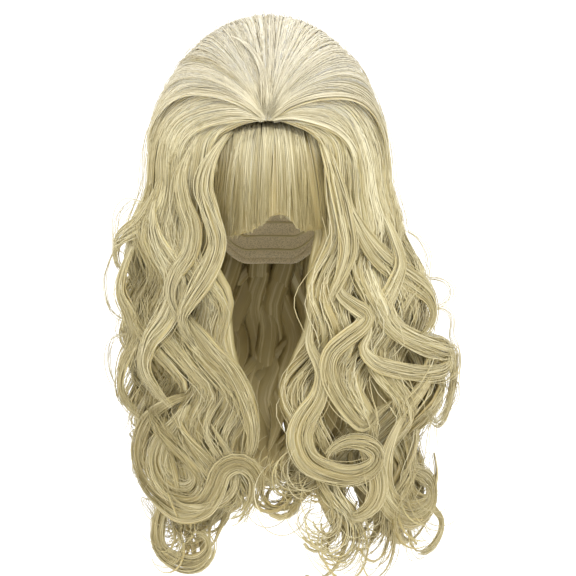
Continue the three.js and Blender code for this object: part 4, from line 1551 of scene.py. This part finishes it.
def fringe_paths(bunches, which, aside, reach, depth, random):
    """Paths of hairs in bunches: reach is a share of the fringe's drop, depth is below its front."""
    share = np.linspace(0, 1, FRINGE_STEPS)[None, :] + 0 * reach[:, None]
    bunch = {name: values[which][:, None] for name, values in bunches.items()}
    sway = (bunch["sway"] + random.normal(0, FRINGE_SWAY, (len(which), 1))) * np.sin(share * bunch["turn"])
    gathered = aside[:, None] * mix(*FRINGE_GATHERING, smooth(share)) / BUNCHES
    x = (bunch["middle"] + gathered + sway) * FRINGE_WIDTH / 2
    points, facing = fringe_points(x, share, reach[:, None])
    return points - facing * depth[:, None, None], facing, share


def fringe_shades(bunches, which, along, level, shadow, random):
    """Shades of hairs in bunches, darkened by painted shadow at the root, the hem and the sides."""
    own = random.uniform(*level, len(which)) + bunches["shade"][which]
    across = bunches["middle"][which][:, None]
    hem = HEM_SHADOW * smooth((along - 0.35) / 0.6)
    side = smooth((np.abs(across) - 0.35) / 0.55) * smooth((along - 0.25) / 0.4)
    root = ROOT_SHADOW * smooth((ROOT_SHADOW_REACH - along) / ROOT_SHADOW_REACH)
    return own[:, None] - shadow * (hem + SIDE_SHADOW * side + root)


class WIG_OT_fringe(bpy.types.Operator):
    """Dress the fringe over the forehead"""

    bl_idname = "wig.fringe"
    bl_label = "Fringe"

    def execute(self, context):
        strands = context.scene.wig_strands
        random = np.random.default_rng(strands.seed * 100 + FRINGE_SEED)
        meshes = [fringe_shell()]
        bunches = fringe_bunches(random)
        for depth, each, level in FRINGE_LAYERS:
            which = np.arange(BUNCHES).repeat(each)
            count = len(which)
            aside = np.tile(np.linspace(-0.5, 0.5, each), BUNCHES) + random.normal(0, 0.15, count)
            depths = random.uniform(0.6, 1.3, count) * depth * MM
            reach = random.uniform(0.92, 1, count)
            paths = fringe_paths(bunches, which, aside, reach, depths, random)
            along = paths[2]
            size = FRINGE_WISP_WIDTH * mix(0.6, 1.0, along) * mix(1.0, 0.1, smooth((along - 0.5) / 0.5))
            shade = fringe_shades(bunches, which, along, level, 1.0, random)
            meshes.append(swept(paths, size, shade, hair_material("Combed wisps"), WISP_SIDES,
                                FRINGE_WISP_FLATNESS, FRINGE_WISP_RIDGES))
        count = strands.fringe
        which = random.integers(0, BUNCHES, count)
        aside = random.normal(0, 0.75, count)
        depths = random.uniform(-1.6, 0.4, count) * MM
        reach = random.uniform(0.88, 1.01, count)
        paths = fringe_paths(bunches, which, aside, reach, depths, random)
        size = strands.strand_radius * FRINGE_STRAND_RADIUS * mix(1.0, 0.4, paths[2])
        shade = fringe_shades(bunches, which, paths[2], FRINGE_STRAND_LEVEL, FRINGE_STRAND_SHADOW, random)
        meshes.append(swept(paths, size, shade, hair_material("Fine strands"), STRAND_SIDES,
                            flatness=1.0, ridges=0.0))
        join("fringe_hair", meshes, ["fringe"])
        return {"FINISHED"}


# Cap

CAP_COLUMNS = 84
CAP_ROWS = 20
CAP_TOP = 0.01
CAP_LINING = 0.4 * MM
SEAM_STEPS = 90
BINDING_RADIUS = 4.5 * MM
BINDING_RISE = 0.6 * MM
BINDING_TURN = 0.03
WEFT_LEVELS = (0.3, 0.93)
WEFT_TURNS = (0.22, 0.78)
WEFT_RADIUS = 1.3 * MM
WEFT_RISE = 0.2 * MM
HEAD_CORE = np.array([0, 0, -HEAD_RISE])


def head_points(azimuth, polar, grow):
    """Points on the cap's inner surface, grown outwards."""
    return np.stack(
        [
            (HEAD_HALF_WIDTH + grow) * np.sin(azimuth) * np.sin(polar),
            -(HEAD_HALF_DEPTH + grow) * np.cos(azimuth) * np.sin(polar),
            -HEAD_RISE + (HEAD_RISE + grow) * np.cos(polar),
        ],
        axis=-1,
    )


def rim_polar(azimuth):
    """How far down the cap's rim lies at an azimuth, as an angle from the top of the head."""
    turn = np.arccos(np.clip(np.cos(azimuth), -1, 1)) / DEGREE
    depth = along_table(RIM_TURNS, RIM_DEPTHS, turn) * MM
    return np.arccos(np.clip(1 - depth / HEAD_RISE, -1, 1))


def cap_net():
    """The thin wall of net, from the top of the head down to the rim."""
    azimuth = np.linspace(0, 2 * math.pi, CAP_COLUMNS + 1)[None, :]
    share = np.linspace(CAP_TOP, 1, CAP_ROWS)[:, None]
    polar = share * rim_polar(azimuth)
    outer = head_points(azimuth + 0 * share, polar, CAP_WALL)
    inner = head_points(azimuth + 0 * share, polar, CAP_LINING)
    return closed_shell("cap", outer, inner, net_material(), 0.5 + 0 * polar)


def seam(track, radius, material, shade, sides, flatness, ridges):
    """A sewn line or more, along tracks over the head."""
    count, steps, _ = track.shape
    along = np.linspace(0, 1, steps)[None, :] + np.zeros((count, 1))
    size = np.full((count, steps), radius)
    paths = (track, unit(track - HEAD_CORE), along)
    return swept(paths, size, np.full(count, shade), material, sides, flatness, ridges)


class WIG_OT_cap(bpy.types.Operator):
    """Sew the net cap with its binding and its rows of weft"""

    bl_idname = "wig.cap"
    bl_label = "Cap"

    def execute(self, context):
        round_head = np.linspace(0, 2 * math.pi, SEAM_STEPS)[None, :]
        rim = head_points(round_head, rim_polar(round_head) - BINDING_TURN, BINDING_RISE)
        level = np.linspace(*WEFT_LEVELS, context.scene.wig_strands.wefts)[:, None]
        across = np.linspace(*WEFT_TURNS, SEAM_STEPS)[None, :] * 2 * math.pi
        rows = head_points(across + 0 * level, level * rim_polar(across), WEFT_RISE)
        meshes = [
            cap_net(),
            seam(rim, BINDING_RADIUS, net_material(), shade=0.5, sides=10, flatness=0.22, ridges=0.0),
            seam(rows, WEFT_RADIUS, hair_material("Fine strands"), shade=0.6, sides=6,
                 flatness=0.6, ridges=0.2),
        ]
        join("sewn_cap", meshes, ["cap"])
        return {"FINISHED"}


# Stage

FLOOR_DROP = 0.12
PAPER_WIDTH = 8.0
PAPER_REACH = 3.0
PAPER_BEND = 1.2
PAPER_RISE = 5
BEND_STEPS = 12
SENSOR_WIDTH = 36
LIGHT_TARGET = Vector((0, 0, -0.15))
# Each light: its name, where it stands, its size across and its power in watts
LIGHTS = (
    ("Key", (0.7, -1.8, 1.8), 0.8, 30),
    ("Fill", (-1.8, -1.4, 0.4), 1.4, 6),
    ("Top", (0.0, 0.2, 2.0), 1.0, 12),
)


def paper_backdrop():
    """Pale paper that lies under the wig and bends up behind it."""
    floor = CAD_BOX[0].z - FLOOR_DROP
    profile = [(-PAPER_REACH, floor)]
    for turn in np.linspace(0, math.pi / 2, BEND_STEPS):
        forward = PAPER_REACH - PAPER_BEND + PAPER_BEND * math.sin(turn)
        profile.append((forward, floor + PAPER_BEND * (1 - math.cos(turn))))
    profile.append((PAPER_REACH, floor + PAPER_RISE))
    verts = [(side * PAPER_WIDTH / 2, y, z) for y, z in profile for side in (-1, 1)]
    faces = [(2 * i, 2 * i + 1, 2 * i + 3, 2 * i + 2) for i in range(len(profile) - 1)]
    mesh = bpy.data.meshes.new("backdrop")
    mesh.from_pydata(verts, [], faces)
    shade_smooth(mesh)
    paper, tree, shader = new_material("Pale paper")
    fill(tree, shader, {
        "Base Color": (0.9, 0.9, 0.9, 1),
        "Roughness": 0.9,
        "Emission Color": (1, 1, 1, 1),
        "Emission Strength": 0.25,
    })
    mesh.materials.append(paper)
    backdrop = bpy.data.objects.new("backdrop", mesh)
    bpy.context.scene.collection.objects.link(backdrop)


def stand(name, data, place, heading):
    """Stands a light or a camera at a place, turned along a heading."""
    made = bpy.data.objects.new(name, data)
    made.location = place
    made.rotation_euler = heading.to_track_quat("-Z", "Y").to_euler()
    bpy.context.scene.collection.objects.link(made)
    return made


class WIG_OT_stage(bpy.types.Operator):
    """Set up the floor, the backdrop, the lights and the camera"""

    bl_idname = "wig.stage"
    bl_label = "Stage"

    def execute(self, context):
        paper_backdrop()
        world = bpy.data.worlds.new("Soft room")
        world.use_nodes = True
        room = world.node_tree
        fill(room, room.nodes["Background"], {"Color": (1, 1, 1, 1), "Strength": 1.0})
        context.scene.world = world
        for label, place, size, power in LIGHTS:
            light = bpy.data.lights.new(label, "AREA")
            light.shape = "DISK"
            light.size = size
            light.energy = power
            stand(label, light, place, LIGHT_TARGET - Vector(place))

        stage = context.scene.wig_stage
        camera = bpy.data.cameras.new("Camera")
        camera.lens = stage.focal
        camera.sensor_width = SENSOR_WIDTH
        back = Vector((0, -math.cos(stage.elevation), math.sin(stage.elevation)))
        eye = stand("Camera", camera, Vector(stage.aim) + back * stage.distance, -back)
        context.scene.camera = eye
        context.scene.view_settings.view_transform = "Standard"
        return {"FINISHED"}


class WIG_PT_panel(bpy.types.Panel):
    """Sizes, colours and pieces of the wig"""

    bl_idname = "WIG_PT_panel"
    bl_label = "Wig"
    bl_space_type = "VIEW_3D"
    bl_region_type = "UI"
    bl_category = "Wig"

    def draw(self, context):
        scene = context.scene
        for group in (scene.wig_curls, scene.wig_strands, scene.wig_colours, scene.wig_stage):
            box = self.layout.box()
            for name in group.__annotations__:
                box.prop(group, name)
        for operator in OPERATORS:
            self.layout.operator(operator.bl_idname)


GROUPS = {"wig_curls": WigCurls, "wig_strands": WigStrands, "wig_colours": WigColours, "wig_stage": WigStage}
OPERATORS = (
    WIG_OT_stage,
    WIG_OT_cap,
    WIG_OT_crown,
    WIG_OT_fringe,
    WIG_OT_curtains,
    WIG_OT_side_curls,
    WIG_OT_back_curls,
)


def register():
    for group in GROUPS.values():
        bpy.utils.register_class(group)
    for name, group in GROUPS.items():
        setattr(bpy.types.Scene, name, bpy.props.PointerProperty(type=group))
    for operator in OPERATORS:
        bpy.utils.register_class(operator)
    bpy.utils.register_class(WIG_PT_panel)


def unregister():
    bpy.utils.unregister_class(WIG_PT_panel)
    for operator in reversed(OPERATORS):
        bpy.utils.unregister_class(operator)
    for name, group in GROUPS.items():
        delattr(bpy.types.Scene, name)
        bpy.utils.unregister_class(group)


def main():
    register()
    bpy.ops.wig.stage()
    bpy.ops.wig.cap()
    bpy.ops.wig.crown()
    bpy.ops.wig.fringe()
    bpy.ops.wig.curtains()
    bpy.ops.wig.side_curls()
    bpy.ops.wig.back_curls()


if __name__ == "__main__":
    main()
